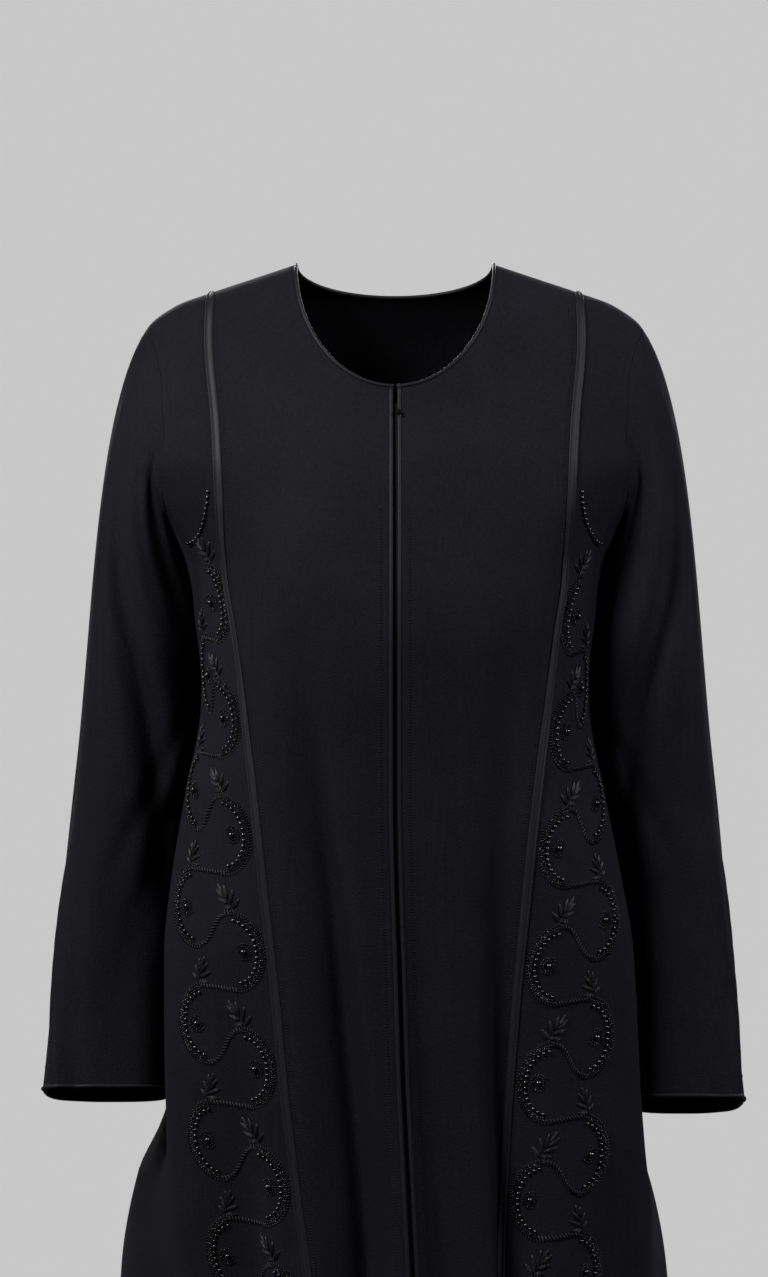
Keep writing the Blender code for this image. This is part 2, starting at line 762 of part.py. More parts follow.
def sleeve_grid(side):
    """Rings of points down the sleeve, from the armhole to the cuff."""
    count = 2 * YOKE_ROWS
    start, start_normals, leaving = armhole_ring(side)
    turns = [360 * k / count for k in range(count)]
    rings = []
    for u in CAP_STEPS:
        ring = []
        for k, turn in enumerate(turns):
            end = sleeve_section(turn, BICEP_DROP, side)
            below = sleeve_section(turn, BICEP_DROP + 10, side)
            falling = (below - end).normalized() * pull_strength(BICEP_PULL, turn)
            rising = leaving[k] * pull_strength(CAP_PULL, turn)
            ring.append(hermite(start[k], rising, end, falling, u))
        rings.append(ring)
    for i in range(1, SLEEVE_ROWS + 1):
        drop = mix(BICEP_DROP, CUFF_DROPS[side], i / SLEEVE_ROWS)
        rings.append([sleeve_section(turn, drop, side) for turn in turns])
    return fold_sleeve(rings, turns), start_normals


def fold_sleeve(rings, turns):
    """Presses the sleeve's folds in towards the middle of each ring."""
    folded = [rings[0]]
    for ring in rings[1:]:
        centre = sum(ring, Vector()) / len(ring)
        row = []
        for turn, point in zip(turns, ring):
            inward = (centre - point).normalized()
            row.append(point + inward * sleeve_fold(turn, -point.z))
        folded.append(row)
    return folded


def sleeve_fold(turn, drop):
    total = 0.0
    for fold in SLEEVE_FOLDS:
        if fold.start < drop < fold.end:
            share = (drop - fold.start) / (fold.end - fold.start)
            middle = mix(fold.turn_start, fold.turn_end, share)
            strength = math.sin(math.pi * share)
            total += fold.depth * strength * trough(turn_between(turn, middle), fold.spread)
    return total


def ring_normals(rings, side):
    """Outward directions on a tube of rings, from the neighbours of each point."""
    count = len(rings[0])
    last = len(rings) - 1
    normals = []
    for i, ring in enumerate(rings):
        above, below = rings[max(i - 1, 0)], rings[min(i + 1, last)]
        row = []
        for k in range(count):
            down = below[k] - above[k]
            around = ring[(k + 1) % count] - ring[k - 1]
            row.append(around.cross(down).normalized() * side)
        normals.append(row)
    return normals


def add_sleeve(side, word, collection):
    """A sleeve set into the armhole, with piping round its open end."""
    rings, start_normals = sleeve_grid(side)
    normals = ring_normals(rings, side)
    normals[0] = start_normals
    cuff_edge = rings[-1]
    rings[0] = [moved(a, b, SEAM_GAP / 2) for a, b in zip(rings[0], rings[1])]
    add_wall("sleeve_" + word, rings, normals, CLOTH, CREPE, collection, tube=True)
    path = beside(cuff_edge, normals[-1], rings[-2], SEAM_GAP + CUFF_PIPING_RADIUS, closed=True)
    add_piping("cuff_piping_" + word, path, CUFF_PIPING_RADIUS, SATIN, collection, closed=True)


def main():
    for old in list(bpy.data.objects):
        bpy.data.objects.remove(old)
    abaya = bpy.data.collections.new("abaya")
    bpy.context.scene.collection.children.link(abaya)
    necks, under = {}, {}
    for side, word in ((-1, "right"), (1, "left")):
        edge, edge_normals, edge_next, necks[word], under[word] = front_panels(side, word, abaya)
        add_edge_piping(word, edge, edge_normals, edge_next, abaya)
        add_sleeve(side, word, abaya)
    back_neck = back_panel(abaya)
    add_neck_piping(necks["right"][:-1] + back_neck + necks["left"][-2::-1], abaya)
    add_placket(under, abaya)
    add_snap(abaya)


main()
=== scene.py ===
"""The looks of a black abaya: crepe panels, satin bands and piping, and the beaded vine.

The cloth's own shape comes first, in millimetres from the point between the shoulders: a drop is
measured straight down, and an angle goes round a level section of the body, from 0 at the centre
front through 90 at the left side seam to 180 at the centre back. Every piece is then sewn onto
that shape, a little finer than the solids of the frame, with its stitches, beads and threads.
"""

import math
from collections import namedtuple

import bpy
import numpy as np
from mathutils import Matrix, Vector


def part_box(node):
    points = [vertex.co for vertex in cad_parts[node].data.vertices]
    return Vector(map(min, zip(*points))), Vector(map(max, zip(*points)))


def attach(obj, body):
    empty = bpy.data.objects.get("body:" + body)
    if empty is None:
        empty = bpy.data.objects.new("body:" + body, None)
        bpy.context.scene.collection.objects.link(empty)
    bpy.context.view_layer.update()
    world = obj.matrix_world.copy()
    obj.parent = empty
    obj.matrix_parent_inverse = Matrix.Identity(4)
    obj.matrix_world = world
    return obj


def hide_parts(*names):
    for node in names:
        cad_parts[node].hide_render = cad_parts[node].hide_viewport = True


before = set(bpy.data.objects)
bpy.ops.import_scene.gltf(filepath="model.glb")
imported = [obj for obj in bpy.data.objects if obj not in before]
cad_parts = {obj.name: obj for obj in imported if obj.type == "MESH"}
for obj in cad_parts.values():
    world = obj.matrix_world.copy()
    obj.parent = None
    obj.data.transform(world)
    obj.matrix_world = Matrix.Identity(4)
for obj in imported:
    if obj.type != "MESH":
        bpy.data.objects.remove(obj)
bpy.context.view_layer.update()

MM = 0.001

# The garment's sizes, in millimetres
LENGTH = 1420.0
ARMPIT_DROP = 230.0
NECK_HALF_WIDTH = 77.0
NECK_DROP = {"front": 98.0, "back": 22.0}
SHOULDER_END_DROP = 48.0
SEAM_TOP_DROP = 21.0
BICEP_DROP = 300.0
BELOW_BICEP = 10.0  # far enough to give the way that the sleeve falls there
CUFF_DROPS = {-1: 633.0, 1: 641.0}
SEAM_GAP = 0.3
FRONT_OPENING = 2.2
PIPING_RADIUS = 1.5
PIPING_SIDES = 12
EDGE_PIPING_SIDES = 10
PIPING_SINK = 0.2
PIPING_SEAT = 1.3  # from the cloth's edge to the piping's middle: the cloth runs into its seam
CLOTH = 1.0  # as it shows at an edge
WORDS = {-1: "right", 1: "left"}  # the wearer's right and left

Section = namedtuple("Section", "drop half_front half_back front back squareness hollow sway")
SECTIONS = (
    Section(0, 77, 77, 20, 26, 2.0, 0, 0),
    Section(11, 110, 110, 28, 38, 2.0, 0, 0),
    Section(21, 140, 140, 34, 49, 2.0, 0, 0),
    Section(31, 167, 167, 40, 57, 2.0, 0, 0),
    Section(48, 189, 189, 48, 69, 2.0, 0, 0),
    Section(60, 194, 194, 54, 76, 2.05, 0, 0),
    Section(83, 205, 205, 65, 87, 2.1, 0, 0),
    Section(115, 212, 212, 80, 97, 2.1, 0, 0),
    Section(150, 212, 212, 96, 105, 2.1, 0, 0),
    Section(180, 194, 194, 106, 110, 2.15, 0, 0),
    Section(205, 174, 174, 113, 112, 2.2, 0, 0),
    Section(230, 158, 158, 119, 112, 2.3, 0, 0),
    Section(255, 152, 149, 124, 111, 2.35, 5, 0),
    Section(290, 149, 144, 127, 109, 2.4, 11, 0),
    Section(340, 153, 147, 127, 106, 2.45, 15, 0),
    Section(400, 166, 157, 126, 104, 2.5, 18, 0),
    Section(460, 178, 169, 126, 106, 2.6, 20, 1),
    Section(524, 188, 188, 127, 111, 2.65, 30, 3),
    Section(620, 190, 207, 130, 121, 2.65, 38, 6),
    Section(660, 190, 217, 132, 125, 2.65, 32, 8),
    Section(700, 190, 228, 134, 130, 2.6, 18, 10),
    Section(774, 187, 238, 138, 138, 2.5, 9, 13),
    Section(900, 194, 242, 146, 150, 2.4, 4, 12),
    Section(1100, 220, 256, 160, 168, 2.3, 3, 12),
    Section(1420, 254, 278, 182, 194, 2.2, 0, 12),
)
HOLLOW_ANGLE = 96.0
HOLLOW_SPREAD = 15.0
BACK_BEGINS = 70.0
BACK_IS_FULL = 116.0
BACK_SWAY = 0.5  # share of the front's sway that the back has the other way
EDGE_ANGLE = 68.0
EDGE_SPREAD = 9.0
EDGE_ROLL = 0.22
SIDE_ANGLE = 75.0  # the front presses the sleeve just under the armpit
SIDE_DROP = 272.0
SIDE_RISE = 7.0
SIDE_SPREAD = 8.0
SIDE_HEIGHT = 30.0
BUST_ANGLE = 36.0
BUST_DROP = 258.0
BUST_RISE = 6.0
BUST_SPREAD = 13.0
BUST_HEIGHT = 52.0
ANGLE_STEP = 0.4  # degrees and millimetres between the points that give a direction
DROP_STEP = 1.0

# How finely the cloth is drawn
YOKE_ROWS = 48
SKIRT_ROWS = 150
YOKE_CROWDING = 1.3  # the yoke's rows lie closer together at the shoulder
NECK_SHARE = 6 / 9  # of a centre panel's width along the top, the rest is shoulder
FRONT_NECK_POINTS = 29
FRONT_SHOULDER_POINTS = 15
SIDE_FRONT_POINTS = 49
BACK_NECK_POINTS = 25
BACK_SHOULDER_POINTS = 13
BACK_OUTER_POINTS = 35
SLEEVE_POINTS = 104
CAP_ROWS = 38
ARM_ROWS = 84
YOKE_SHARES = np.linspace(0, 1, YOKE_ROWS + 1)[:, None]
SKIRT_DROPS = np.linspace(ARMPIT_DROP, LENGTH, SKIRT_ROWS + 1)[1:, None]

SeamPoint = namedtuple("SeamPoint", "drop half_width")
PANEL_SEAM = (
    SeamPoint(21, 140.0),
    SeamPoint(52, 141.0),
    SeamPoint(124, 134.6),
    SeamPoint(180, 130.8),
    SeamPoint(239, 126.2),
    SeamPoint(287, 118.0),
    SeamPoint(353, 110.0),
    SeamPoint(422, 102.0),
    SeamPoint(486, 96.0),
    SeamPoint(555, 90.0),
    SeamPoint(613, 86.0),
    SeamPoint(690, 80.0),
    SeamPoint(774, 73.0),
    SeamPoint(1000, 70.0),
    SeamPoint(1420, 70.0),
)
BACK_DIVISION = 51.0

ArmholePoint = namedtuple("ArmholePoint", "share drop front back")
ARMHOLE = (
    ArmholePoint(0.0, 48, 0, 0),
    ArmholePoint(0.1, 60, 17, 22),
    ArmholePoint(0.22, 83, 34, 41),
    ArmholePoint(0.37, 115, 47, 55),
    ArmholePoint(0.53, 150, 56, 62),
    ArmholePoint(0.67, 180, 51, 57),
    ArmholePoint(0.8, 205, 36, 41),
    ArmholePoint(0.91, 222, 18, 21),
    ArmholePoint(1.0, 230, 0, 0),
)

MID_DROP = 774.0
Fold = namedtuple("Fold", "start angle_start angle_mid angle_hem depth_mid depth_hem spread")
FOLDS = (
    Fold(250, -32, -15, -14, 18, 26, 5.2),
    Fold(440, 7, 10, 9, 10, 18, 4.2),
    Fold(235, 35, 30, 28, 18, 26, 5.0),
    Fold(520, -50, -47, -43, 9, 24, 6.5),
    Fold(600, 56, 54, 52, 4, 24, 7.5),
    Fold(800, -72, -72, -72, 0, 22, 7.5),
    Fold(820, 81, 81, 81, 0, 22, 8.0),
    Fold(640, -104, -103, -102, 5, 24, 8.0),
    Fold(690, 112, 111, 109, 4, 24, 8.0),
    Fold(380, -130, -130, -131, 9, 26, 7.5),
    Fold(420, 134, 136, 138, 8, 26, 7.5),
    Fold(300, -156, -158, -160, 10, 24, 7.0),
    Fold(340, 162, 165, 168, 9, 25, 7.0),
)
RIDGE_SHARE = 0.38  # how much the cloth stands up on both sides of a fold

# Slight folds: one that runs to the hem is full after a quarter of its length
CREASE_GROWS = 4
Crease = namedtuple("Crease", "start end angle_start angle_end depth spread bend", defaults=(1,))
CREASES = (
    Crease(270, 1420, -31, -15, 5.0, 4.0, 3),
    Crease(250, 1420, 41, 25, 3.6, 4.2, 2),
    Crease(430, 1420, 7, 4, 1.2, 3.0),
    Crease(560, 1420, -49, -44, 2.5, 4.0),
    Crease(150, 330, 66, 46, 1.6, 3.0),
    Crease(160, 350, -68, -47, 1.6, 3.0),
    Crease(200, 420, 60, 40, 1.2, 2.6),
    Crease(210, 430, -61, -41, 1.2, 2.6),
    Crease(300, 1000, 20, 18, 1.4, 2.4),
    Crease(330, 1100, -6, -5, 1.2, 2.2),
    Crease(420, 1420, -25, -22, 2.0, 2.6),
    Crease(520, 1420, 17, 16, 1.8, 2.4),
    Crease(560, 1420, -33, -31, 1.8, 2.8),
    Crease(620, 1420, 41, 40, 1.6, 3.2),
    Crease(700, 1420, -60, -58, 2.0, 3.4),
    Crease(720, 1420, 66, 66, 2.0, 3.4),
    Crease(130, 420, 128, 145, 2.2, 4.0),
    Crease(130, 430, -130, -146, 2.2, 4.0),
    Crease(200, 900, 178, 179, 1.8, 4.0),
    Crease(420, 1420, 150, 152, 2.2, 3.6),
    Crease(460, 1420, -143, -145, 2.2, 3.6),
    Crease(500, 1420, -172, -171, 2.0, 3.4),
    Crease(560, 1420, 122, 123, 2.2, 4.0),
    Crease(640, 1420, -118, -117, 2.2, 4.0),
)

SleeveSection = namedtuple(
    "SleeveSection", "drop outer half_width centre_y half_depth squareness tilt"
)
SLEEVE = (
    SleeveSection(300, 236.5, 46.5, 10, 67, 2.15, 0.0),
    SleeveSection(360, 242.0, 48.5, 15, 65, 2.2, 0.0),
    SleeveSection(420, 248.5, 46.0, 18, 64, 2.3, 0.02),
    SleeveSection(480, 254.5, 44.0, 18, 62, 2.5, 0.05),
    SleeveSection(540, 259.5, 43.5, 15, 62, 2.6, 0.1),
    SleeveSection(600, 264.0, 45.0, 10, 63, 2.8, 0.16),
    SleeveSection(645, 268.0, 47.0, 5, 62, 2.9, 0.21),
)
SLEEVE_NARROWING = {-1: 1.0, 1: 0.88}
NARROWS_FROM = 400
NARROWS_OVER = 150
SLEEVE_FRONT_FLATTER = 2.0  # the front of the forearm hangs flat
FLATTER_FROM = 420
FLATTER_OVER = 160
CAP_PULL = (20.0, 158.0)  # on the cap's curve, at the body's side and at the shoulder's
BICEP_PULL = (70.0, 230.0)
PULL_SHAPE = 1.4
LEAVING_ROUNDS = 20

SleeveFold = namedtuple("SleeveFold", "start end turn_start turn_end depth spread")
SLEEVE_FOLDS = (
    SleeveFold(95, 520, 34, 138, 10.0, 7.5),
    SleeveFold(110, 330, 84, 138, 5.0, 9.0),
    SleeveFold(100, 400, -58, -110, 6.0, 10.0),
    SleeveFold(330, 560, 150, 100, 3.5, 10.0),
    SleeveFold(340, 600, -70, -92, 4.0, 12.0),
)
# Slight folds: the first is a ridge that runs in from the outer edge to the cuff
SLEEVE_CREASES = (
    SleeveFold(400, 645, 22, 66, -2.4, 4.5),
    SleeveFold(120, 300, 66, 110, 1.8, 4.0),
    SleeveFold(150, 380, 40, 58, 1.6, 5.0),
    SleeveFold(320, 470, 128, 84, 2.2, 5.0),
    SleeveFold(360, 500, 140, 104, 2.0, 4.5),
    SleeveFold(420, 640, 62, 70, 2.0, 6.0),
    SleeveFold(300, 640, 28, 24, 1.4, 6.0),
    SleeveFold(460, 645, 118, 128, 1.8, 6.0),
    SleeveFold(330, 500, -84, -40, 1.8, 6.0),
    SleeveFold(440, 645, -60, -64, 1.8, 7.0),
)
FOLD_REACHES_CUFF = 640


def smooth(knots, values, place):
    """The values at some places on a curve through the knots that never overshoots."""
    knots, values = np.asarray(knots, float), np.asarray(values, float)
    steps = np.diff(values) / np.diff(knots)
    slopes = np.empty(len(knots))
    slopes[0], slopes[-1] = steps[0], steps[-1]
    before, after = steps[:-1], steps[1:]
    with np.errstate(divide="ignore", invalid="ignore"):
        inner = 2 * before * after / (before + after)
    slopes[1:-1] = np.where(before * after <= 0, 0.0, inner)
    place = np.clip(place, knots[0], knots[-1])
    i = np.clip(np.searchsorted(knots, place, side="right") - 1, 0, len(knots) - 2)
    width = knots[i + 1] - knots[i]
    u = (place - knots[i]) / width
    return hermite(values[i], slopes[i] * width, values[i + 1], slopes[i + 1] * width, u)


def hermite(start, pull_start, end, pull_end, u):
    u2, u3 = u * u, u * u * u
    towards_end = 3 * u2 - 2 * u3
    return (
        start * (1 - towards_end)
        + pull_start * (u3 - 2 * u2 + u)
        + end * towards_end
        + pull_end * (u3 - u2)
    )


def read(rows, name, place):
    """One column of a table at some places between its rows; the first column is the place."""
    return smooth([row[0] for row in rows], [getattr(row, name) for row in rows], place)


def ease(u):
    u = np.clip(u, 0.0, 1.0)
    return u * u * (3 - 2 * u)


def bump(distance, spread):
    return np.exp(-0.5 * (distance / spread) ** 2)


def mix(a, b, share):
    return a + (b - a) * share


def turn_between(a, b):
    return (a - b + 180) % 360 - 180


def unit(vectors):
    return vectors / np.maximum(np.linalg.norm(vectors, axis=-1, keepdims=True), 1e-12)


def trough(distance, spread):
    u = distance / spread
    return (np.exp(-0.5 * u * u) - RIDGE_SHARE * np.exp(-0.125 * u * u)) / (1 - RIDGE_SHARE)


def skirt_folds(angle, drop):
    """How far the folds draw the cloth in."""
    total = np.zeros(np.broadcast(angle, drop).shape)
    for fold in FOLDS:
        knots = (fold.start, MID_DROP, LENGTH)
        if fold.start < MID_DROP:
            depth = smooth(knots, (0.0, fold.depth_mid, fold.depth_hem), drop)
            middle = smooth(knots, (fold.angle_start, fold.angle_mid, fold.angle_hem), drop)
        else:
            share = np.clip((drop - fold.start) / (LENGTH - fold.start), 0, 1)
            depth = fold.depth_hem * share
            middle = mix(fold.angle_start, fold.angle_hem, ease(share))
        total = total + depth * trough(turn_between(angle, middle), fold.spread)
    for crease in CREASES:
        share = np.clip((drop - crease.start) / (crease.end - crease.start), 0, 1)
        runs_to_hem = crease.end >= LENGTH
        strength = ease(share * CREASE_GROWS) if runs_to_hem else np.sin(np.pi * share)
        middle = mix(crease.angle_end, crease.angle_start, (1 - share) ** crease.bend)
        drawn_in = crease.depth * strength
        total = total + drawn_in * trough(turn_between(angle, middle), crease.spread)
    return total


def body(angle, drop):
    """Points on the outer face of the worn garment, in millimetres."""
    angle, drop = np.broadcast_arrays(np.asarray(angle, float), np.asarray(drop, float))
    a = np.radians(angle)
    away = np.abs(turn_between(angle, 0))
    backward = ease((away - BACK_BEGINS) / (BACK_IS_FULL - BACK_BEGINS))
    half = mix(read(SECTIONS, "half_front", drop), read(SECTIONS, "half_back", drop), backward)
    depth = np.where(away < 90, read(SECTIONS, "front", drop), read(SECTIONS, "back", drop))
    power = read(SECTIONS, "squareness", drop)
    reach = (np.abs(np.sin(a)) / half) ** power + (np.abs(np.cos(a)) / depth) ** power
    radius = reach ** (-1 / power)
    hollow = read(SECTIONS, "hollow", drop)
    radius = radius - hollow * bump(away - HOLLOW_ANGLE, HOLLOW_SPREAD)
    radius = radius + hollow * EDGE_ROLL * bump(away - EDGE_ANGLE, EDGE_SPREAD)
    bust = bump(away - BUST_ANGLE, BUST_SPREAD) * bump(drop - BUST_DROP, BUST_HEIGHT)
    side = bump(away - SIDE_ANGLE, SIDE_SPREAD) * bump(drop - SIDE_DROP, SIDE_HEIGHT)
    radius = radius + BUST_RISE * bust + SIDE_RISE * side - skirt_folds(angle, drop)
    sway = read(SECTIONS, "sway", drop) * (1 - (1 + BACK_SWAY) * backward)
    return np.stack([radius * np.sin(a) + sway, -radius * np.cos(a), -drop], axis=-1)


def body_normal(angle, drop):
    """The outward direction of the cloth there."""
    across = body(angle + ANGLE_STEP, drop) - body(angle - ANGLE_STEP, drop)
    down = body(angle, drop + DROP_STEP) - body(angle, np.maximum(drop - DROP_STEP, 0.0))
    return unit(np.cross(down, across))


def section_lean(x, drop, face):
    """How far round from the centre line the plain section reaches this x, in degrees."""
    half = read(SECTIONS, "half_front", drop)
    power = read(SECTIONS, "squareness", drop)
    y = read(SECTIONS, face, drop) * np.maximum(1 - (x / half) ** power, 0) ** (1 / power)
    return np.where(x >= half, 90.0, np.degrees(np.arctan2(x, np.maximum(y, 1e-9))))


def armhole_lean(share, face):
    drop = read(ARMHOLE, "drop", share)
    y = read(ARMHOLE, face, share)
    half = read(SECTIONS, "half_front", drop)
    power = read(SECTIONS, "squareness", drop)
    x = half * np.maximum(1 - (y / read(SECTIONS, face, drop)) ** power, 0) ** (1 / power)
    return np.degrees(np.arctan2(x, y)), drop


def division_lean(drop, face):
    if face == "front":
        return section_lean(read(PANEL_SEAM, "half_width", drop), drop, face)
    return np.full(np.shape(drop), BACK_DIVISION)


def division_x(drop, face):
    if face == "front":
        return read(PANEL_SEAM, "half_width", drop)
    half = read(SECTIONS, "half_front", SEAM_TOP_DROP)
    reach = body(180 - BACK_DIVISION, ARMPIT_DROP)[0]
    return mix(half, reach, (drop - SEAM_TOP_DROP) / (ARMPIT_DROP - SEAM_TOP_DROP))


def centre_x(face):
    return FRONT_OPENING / 2 + 2 * PIPING_RADIUS + SEAM_GAP if face == "front" else 0.0


def neck_edge(share, face):
    around = (1 - share) * math.acos(centre_x(face) / NECK_HALF_WIDTH)
    return NECK_HALF_WIDTH * np.cos(around), NECK_DROP[face] * np.sin(around)


def patch(left, right, top, bottom, across, down):
    """Points inside four edges that meet at their ends, for arrays of across and down."""
    result = []
    for i in (0, 1):
        edges = (
            (1 - across) * left(down)[i]
            + across * right(down)[i]
            + (1 - down) * top(across)[i]
            + down * bottom(across)[i]
        )
        zero, one = np.zeros(1), np.ones(1)
        corners = (1 - down) * (
            (1 - across) * top(zero)[i] + across * top(one)[i]
        ) + down * ((1 - across) * bottom(zero)[i] + across * bottom(one)[i])
        result.append(edges - corners)
    return result


def division_drop(down):
    return mix(SEAM_TOP_DROP, ARMPIT_DROP, down**YOKE_CROWDING)


def add_skirt(yoke, skirt_lean):
    """A panel's yoke with its skirt below it, as grids of lean and drop."""
    yoke_lean, yoke_drop = yoke
    skirt_drop = np.broadcast_to(SKIRT_DROPS, skirt_lean.shape)
    return np.vstack([yoke_lean, skirt_lean]), np.vstack([yoke_drop, skirt_drop])


def centre_panel(face, across):
    """Lean and drop on the centre front or back, as grids, from the neck to the hem."""
    edge_lean = float(section_lean(np.array(centre_x(face)), np.array(ARMPIT_DROP), face))
    armpit_division = float(division_lean(np.array(ARMPIT_DROP), face))
    neck_drop = float(neck_edge(0.0, face)[1])

    def top(u):
        neck_x, neck_d = neck_edge(np.minimum(u / NECK_SHARE, 1), face)
        shoulder_drop = SEAM_TOP_DROP * np.maximum(u - NECK_SHARE, 0) / (1 - NECK_SHARE)
        on_neck = u <= NECK_SHARE
        shoulder_x = read(SECTIONS, "half_front", shoulder_drop)
        return np.where(on_neck, neck_x, shoulder_x), np.where(on_neck, neck_d, shoulder_drop)

    def bottom(u):
        lean = mix(edge_lean, armpit_division, u)
        angle = lean if face == "front" else 180 - lean
        return body(angle, ARMPIT_DROP)[..., 0], np.full(np.shape(u), ARMPIT_DROP)

    def left(v):
        return np.full(np.shape(v), centre_x(face)), mix(neck_drop, ARMPIT_DROP, v)

    def right(v):
        drop = division_drop(v)
        return division_x(drop, face), drop

    u = np.asarray(across)[None, :]
    x, drop = patch(left, right, top, bottom, u, YOKE_SHARES)
    lean = section_lean(x, drop, face)
    lean[-1] = mix(edge_lean, armpit_division, u[0])
    inner = section_lean(np.full_like(SKIRT_DROPS, centre_x(face)), SKIRT_DROPS, face)
    skirt_lean = mix(inner, division_lean(SKIRT_DROPS, face), u)
    return add_skirt((lean, drop), skirt_lean)


def outer_panel(face, across):
    """Lean and drop outside the panel seam, from the shoulder and armhole to the hem."""
    armpit_division = float(division_lean(np.array(ARMPIT_DROP), face))

    def top(u):
        return np.full(np.shape(u), 90.0), mix(SEAM_TOP_DROP, SHOULDER_END_DROP, u)

    def bottom(u):
        return mix(armpit_division, 90.0, u), np.full(np.shape(u), ARMPIT_DROP)

    def left(v):
        drop = division_drop(v)
        lean = section_lean(division_x(drop, face), drop, face)
        return np.where(v >= 1, armpit_division, lean), drop

    def right(v):
        return armhole_lean(v, face)

    u = np.asarray(across)[None, :]
    yoke = patch(left, right, top, bottom, u, YOKE_SHARES)
    skirt_lean = mix(division_lean(SKIRT_DROPS, face), 90.0, u)
    return add_skirt(yoke, skirt_lean)


def lay(lean, drop, face, side):
    """Points and outward directions for a panel's grid."""
    angle = side * (lean if face == "front" else 180 - lean)
    return body(angle, drop), body_normal(angle, drop)


def draw_in(points, edge, distance):
    """Moves one edge of a grid inward along the grid, where two pieces are seamed."""
    grid = {
        "inner": (np.s_[:, 0], np.s_[:, 1]),
        "outer": (np.s_[:, -1], np.s_[:, -2]),
        "top": (np.s_[0], np.s_[1]),
    }
    at, beyond = grid[edge]
    points[at] = points[at] + unit(points[beyond] - points[at]) * distance


# The looks of each stuff


def colour(hexed):
    """An sRGB hex colour in linear light."""
    values = [int(hexed[i : i + 2], 16) / 255 for i in (1, 3, 5)]
    linear = [v / 12.92 if v <= 0.04045 else ((v + 0.055) / 1.055) ** 2.4 for v in values]
    return (*linear, 1.0)


def add_node(tree, kind, settings=None, **links):
    """One node, with its settings, its values and what is linked to its inputs."""
    node = tree.nodes.new(kind)
    for name, value in (settings or {}).items():
        setattr(node, name, value)
    for name, value in links.items():
        key = int(name[1:]) if name[0] == "_" else name.replace("_", " ")
        if isinstance(value, bpy.types.NodeSocket):
            tree.links.new(value, node.inputs[key])
        else:
            node.inputs[key].default_value = value
    return node


Finish = namedtuple("Finish", "material tree shader")


def new_finish(name, shader_values):
    """A new material with its shader's own sockets set."""
    made = bpy.data.materials.new(name)
    made.use_nodes = True
    shader = made.node_tree.nodes["Principled BSDF"]
    for key, value in shader_values.items():
        shader.inputs[key].default_value = value
    made.diffuse_color = shader_values["Base Color"]
    return Finish(made, made.node_tree, shader)


def paint_relief_shading(finish, pattern, relief, dark, light):
    """Joins a pattern to a finish's colour and a height to its relief; every finish here gives one
    field to both, so the relief's hollows get painted shade and its tops are painted lighter.

    dark and light are each a place on the pattern's scale and a colour, and the relief is a
    height, a strength and a depth in metres.
    """
    made, tree, shader = finish
    ramp = add_node(tree, "ShaderNodeValToRGB", Fac=pattern)
    for stop, (place, tint) in zip(ramp.color_ramp.elements, (dark, light)):
        stop.position = place
        stop.color = colour(tint)
    tree.links.new(ramp.outputs["Color"], shader.inputs["Base Color"])
    height, strength, depth = relief
    raised = add_node(tree, "ShaderNodeBump", Strength=strength, Distance=depth, Height=height)
    tree.links.new(raised.outputs["Normal"], shader.inputs["Normal"])
    return made


def crepe():
    """Polyester crepe, piece-dyed black: hard-twisted yarns give it a fine pebble, so it is matt,
    with a faint cool bloom where it turns away and slight lengthwise streaks from the yarn."""
    finish = new_finish(
        "black polyester crepe",
        {
            "Base Color": colour("#131316"),
            "Roughness": 0.78,
            "Specular IOR Level": 0.12,
            "Sheen Weight": 0.05,
            "Sheen Roughness": 0.42,
            "Sheen Tint": colour("#b9b9cc"),
        },
    )
    tree = finish.tree
    place = add_node(tree, "ShaderNodeTexCoord").outputs["Object"]
    # a pebble is 0.6 mm on the real cloth and is drawn at 1.5 mm, or it wouldn't show
    pebble = add_node(
        tree, "ShaderNodeTexNoise", Vector=place, Scale=1000 / 1.5, Detail=2.0, Roughness=0.6
    )
    # yarn streaks, 2 mm apart and 50 mm long
    stretched = add_node(
        tree, "ShaderNodeMapping", Vector=place, Scale=(500.0, 500.0, 20.0)
    ).outputs["Vector"]
    streaks = add_node(tree, "ShaderNodeTexNoise", Vector=stretched, Scale=1.0, Detail=1.0)
    # wear and handling: patches 90 mm across, a little greyer
    patches = add_node(tree, "ShaderNodeTexNoise", Vector=place, Scale=1000 / 90, Detail=2.0)
    tone = add_node(
        tree,
        "ShaderNodeMath",
        {"operation": "MULTIPLY_ADD"},
        _0=streaks.outputs["Fac"],
        _1=0.5,
        _2=patches.outputs["Fac"],
    )
    grain = add_node(
        tree,
        "ShaderNodeMath",
        {"operation": "MULTIPLY_ADD"},
        _0=pebble.outputs["Fac"],
        _1=1.5,
        _2=tone.outputs["Value"],
    ).outputs["Value"]
    spread = add_node(tree, "ShaderNodeMapRange", Value=grain, From_Min=1.15, From_Max=1.95)
    spread_out = spread.outputs["Result"]
    # the colour follows the relief's height: painted shade in the pebble's hollows and painted
    # light on its tops, while the streaks and patches also change the tone at random
    return paint_relief_shading(finish, spread_out, (grain, 0.6, 0.0004), (0, "#131216"), (1, "#1f1e26"))


def satin(name, tint, lightest, ridge_mm):
    """Polyester satin cut on the bias: long floats give a soft line of light along its length."""
    finish = new_finish(
        name,
        {
            "Base Color": colour(tint),
            "Roughness": 0.5,
            "Specular IOR Level": 0.2,
            "Sheen Weight": 0.03,
            "Sheen Roughness": 0.3,
        },
    )
    tree = finish.tree
    place = add_node(tree, "ShaderNodeTexCoord").outputs["Object"]
    floats = add_node(
        tree, "ShaderNodeTexNoise", Vector=place, Scale=1000 / ridge_mm, Detail=2.0, Roughness=0.7
    ).outputs["Fac"]
    # the colour follows the floats' height: painted light on the float tops and painted shade in
    # the hollows between them
    return paint_relief_shading(finish, floats, (floats, 0.25, 0.0003), (0.35, tint), (0.7, lightest))


